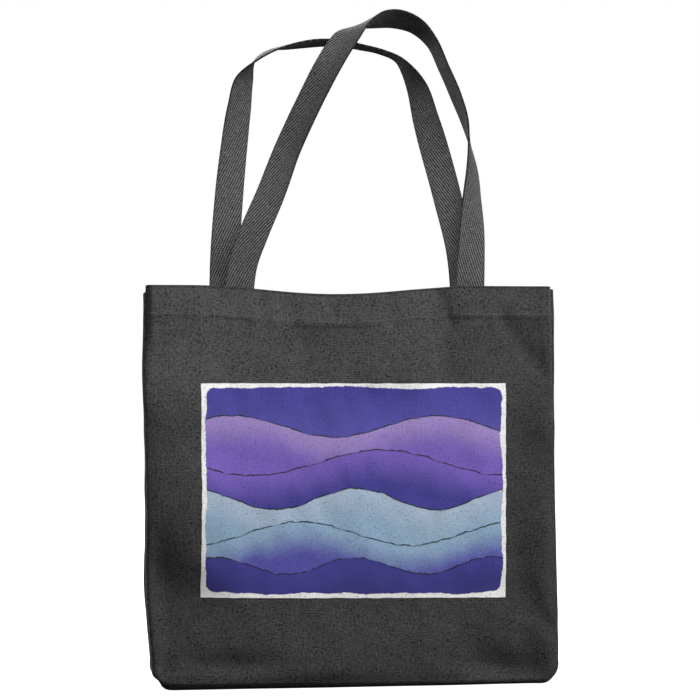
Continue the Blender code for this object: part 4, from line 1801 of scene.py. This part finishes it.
@dataclass(frozen=True)
class Studio:
    """A plain pale floor, a plain pale surround and soft lights."""

    floor_radius: float = 9.0
    floor_height: float = -0.2 * MM
    floor_seen: float = 0.5
    floor_glow: float = 1.0
    floor_cast: float = 0.06
    surround_seen: float = 1.0
    surround_cast: float = 0.02

    def place(self) -> None:
        """Build the floor, the surround and the lights."""
        bpy.context.scene.view_settings.view_transform = "Standard"
        self.lay_floor()
        self.hang_surround()
        aim = Vector((0.0, 0.0, 0.3))
        for box in SOFT_BOXES:
            box.place(aim)

    def lay_floor(self) -> None:
        """A round floor under the bag, which throws back less light than it shows."""
        bpy.ops.object.select_all(action="DESELECT")
        bpy.ops.mesh.primitive_circle_add(
            vertices=96, radius=self.floor_radius, fill_type="NGON", location=(0, 0, self.floor_height)
        )
        floor = bpy.context.active_object
        floor.name = "studio_floor"
        material = bpy.data.materials.new("studio_floor")
        material.use_nodes = True
        w = Wiring(material.node_tree)
        shader = material.node_tree.nodes["Principled BSDF"]
        output = material.node_tree.nodes["Material Output"]
        shader.inputs["Base Color"].default_value = grey(self.floor_seen)
        shader.inputs["Roughness"].default_value = 1.0
        dull = w.node("ShaderNodeBsdfDiffuse")
        dull.inputs["Color"].default_value = grey(self.floor_cast)
        glow = w.node("ShaderNodeEmission")
        glow.inputs["Strength"].default_value = self.floor_glow
        shown = w.node("ShaderNodeAddShader")
        w.put(shader.outputs[0], shown.inputs[0])
        w.put(glow.outputs[0], shown.inputs[1])
        choice = w.node("ShaderNodeMixShader")
        w.put(w.node("ShaderNodeLightPath").outputs["Is Camera Ray"], choice.inputs[0])
        w.put(dull.outputs[0], choice.inputs[1])
        w.put(shown.outputs[0], choice.inputs[2])
        w.put(choice.outputs[0], output.inputs["Surface"])
        floor.data.materials.append(material)

    def hang_surround(self) -> None:
        """A plain surround: white to look at, dim to light by."""
        world = bpy.data.worlds.new("studio")
        world.use_nodes = True
        bpy.context.scene.world = world
        w = Wiring(world.node_tree)
        background = world.node_tree.nodes["Background"]
        seen = w.node("ShaderNodeLightPath").outputs["Is Camera Ray"]
        strength = w.multiply_add(seen, self.surround_seen - self.surround_cast, self.surround_cast)
        background.inputs["Color"].default_value = (1.0, 1.0, 1.0, 1.0)
        w.put(strength, background.inputs["Strength"])


# ---------------------------------------------------------------- the whole bag


@dataclass(frozen=True)
class ToteBag:
    """All the pieces of the bag, sewn together."""

    shape: BagShape

    def build(self) -> None:
        """Build and dress each piece, and hang it on the frame."""
        effects = ClothEffects()
        canvas = CanvasFinish().material(effects)
        webbing = WebbingFinish().material(effects)
        thread = ThreadFinish().material()
        front = PanelRelief(self.shape, FRONT_CREASES, (-107.3 * MM, 107.3 * MM), seed=11)
        back = PanelRelief(
            self.shape,
            BACK_CREASES,
            (-118.5 * MM, 109 * MM),
            seed=23,
            left_roll=2.2 * MM,
            right_roll=2.2 * MM,
            left_roll_width=5.5 * MM,
        )
        panels = (PanelCut(Side.FRONT, self.shape, front), PanelCut(Side.BACK, self.shape, back))
        for panel in panels:
            self.add_panel(panel, canvas, thread)
        strip = GussetStrip(self.shape, front, back)
        self.add_gusset(strip, canvas)
        for panel in panels:
            self.add_allowance(panel, strip, canvas)
        self.add_print(panels[0], effects)
        handles = (
            WebbingHandle("front_webbing", FRONT_HANDLE, top_shade=0.3),
            WebbingHandle("back_webbing", BACK_HANDLE),
        )
        for handle, node in zip(handles, ("handle_front", "handle_back")):
            settle(handle.build(), Slot.WEBBING, webbing, node)

    def add_panel(self, panel: PanelCut, canvas: bpy.types.Material, thread: bpy.types.Material) -> None:
        """One panel with its hem and its stitches."""
        label = panel.side.name.lower()
        cloth = panel.build()
        settle(cloth, Slot.CANVAS, canvas, f"{label}_panel", f"hem_{label}")
        sewing = PanelSewing(panel)
        hem = StitchRow(f"{label}_hem_stitches").build(sewing.hem_row())
        settle(hem, Slot.HEM, thread)
        boxes = StitchRow(f"{label}_foot_stitches").build(sewing.foot_boxes())
        settle(boxes, Slot.HEM, thread)

    def add_gusset(self, strip: GussetStrip, canvas: bpy.types.Material) -> None:
        """The strip between the panels, with its hems."""
        cloth = strip.build()
        nodes = ("gusset_left", "gusset_right", "gusset_base", "hem_left", "hem_right")
        settle(cloth, Slot.CANVAS, canvas, *nodes)

    def add_allowance(self, panel: PanelCut, strip: GussetStrip, canvas: bpy.types.Material) -> None:
        """The seam's sewn-together edges inside the bag."""
        allowance = SeamAllowance(panel.side, self.shape, panel.relief)
        cloth = allowance.build(strip)
        settle(cloth, Slot.HEM, canvas)

    def add_print(self, panel: PanelCut, effects: ClothEffects) -> None:
        """The print on the front."""
        film = PrintFilm(panel)
        width = film.top_right[0] - film.top_left[0]
        tall = film.top_left[1] - film.bottom_left[1]
        settle(film.build(), Slot.PRINT, PrintFinish(width, tall).material(effects), "print_panel")


def main() -> None:
    """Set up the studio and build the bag."""
    logging.basicConfig(level=logging.INFO, format="%(name)s: %(message)s")
    StudioCamera().place()
    Studio().place()
    ToteBag(BagShape()).build()


if __name__ == "__main__":
    main()
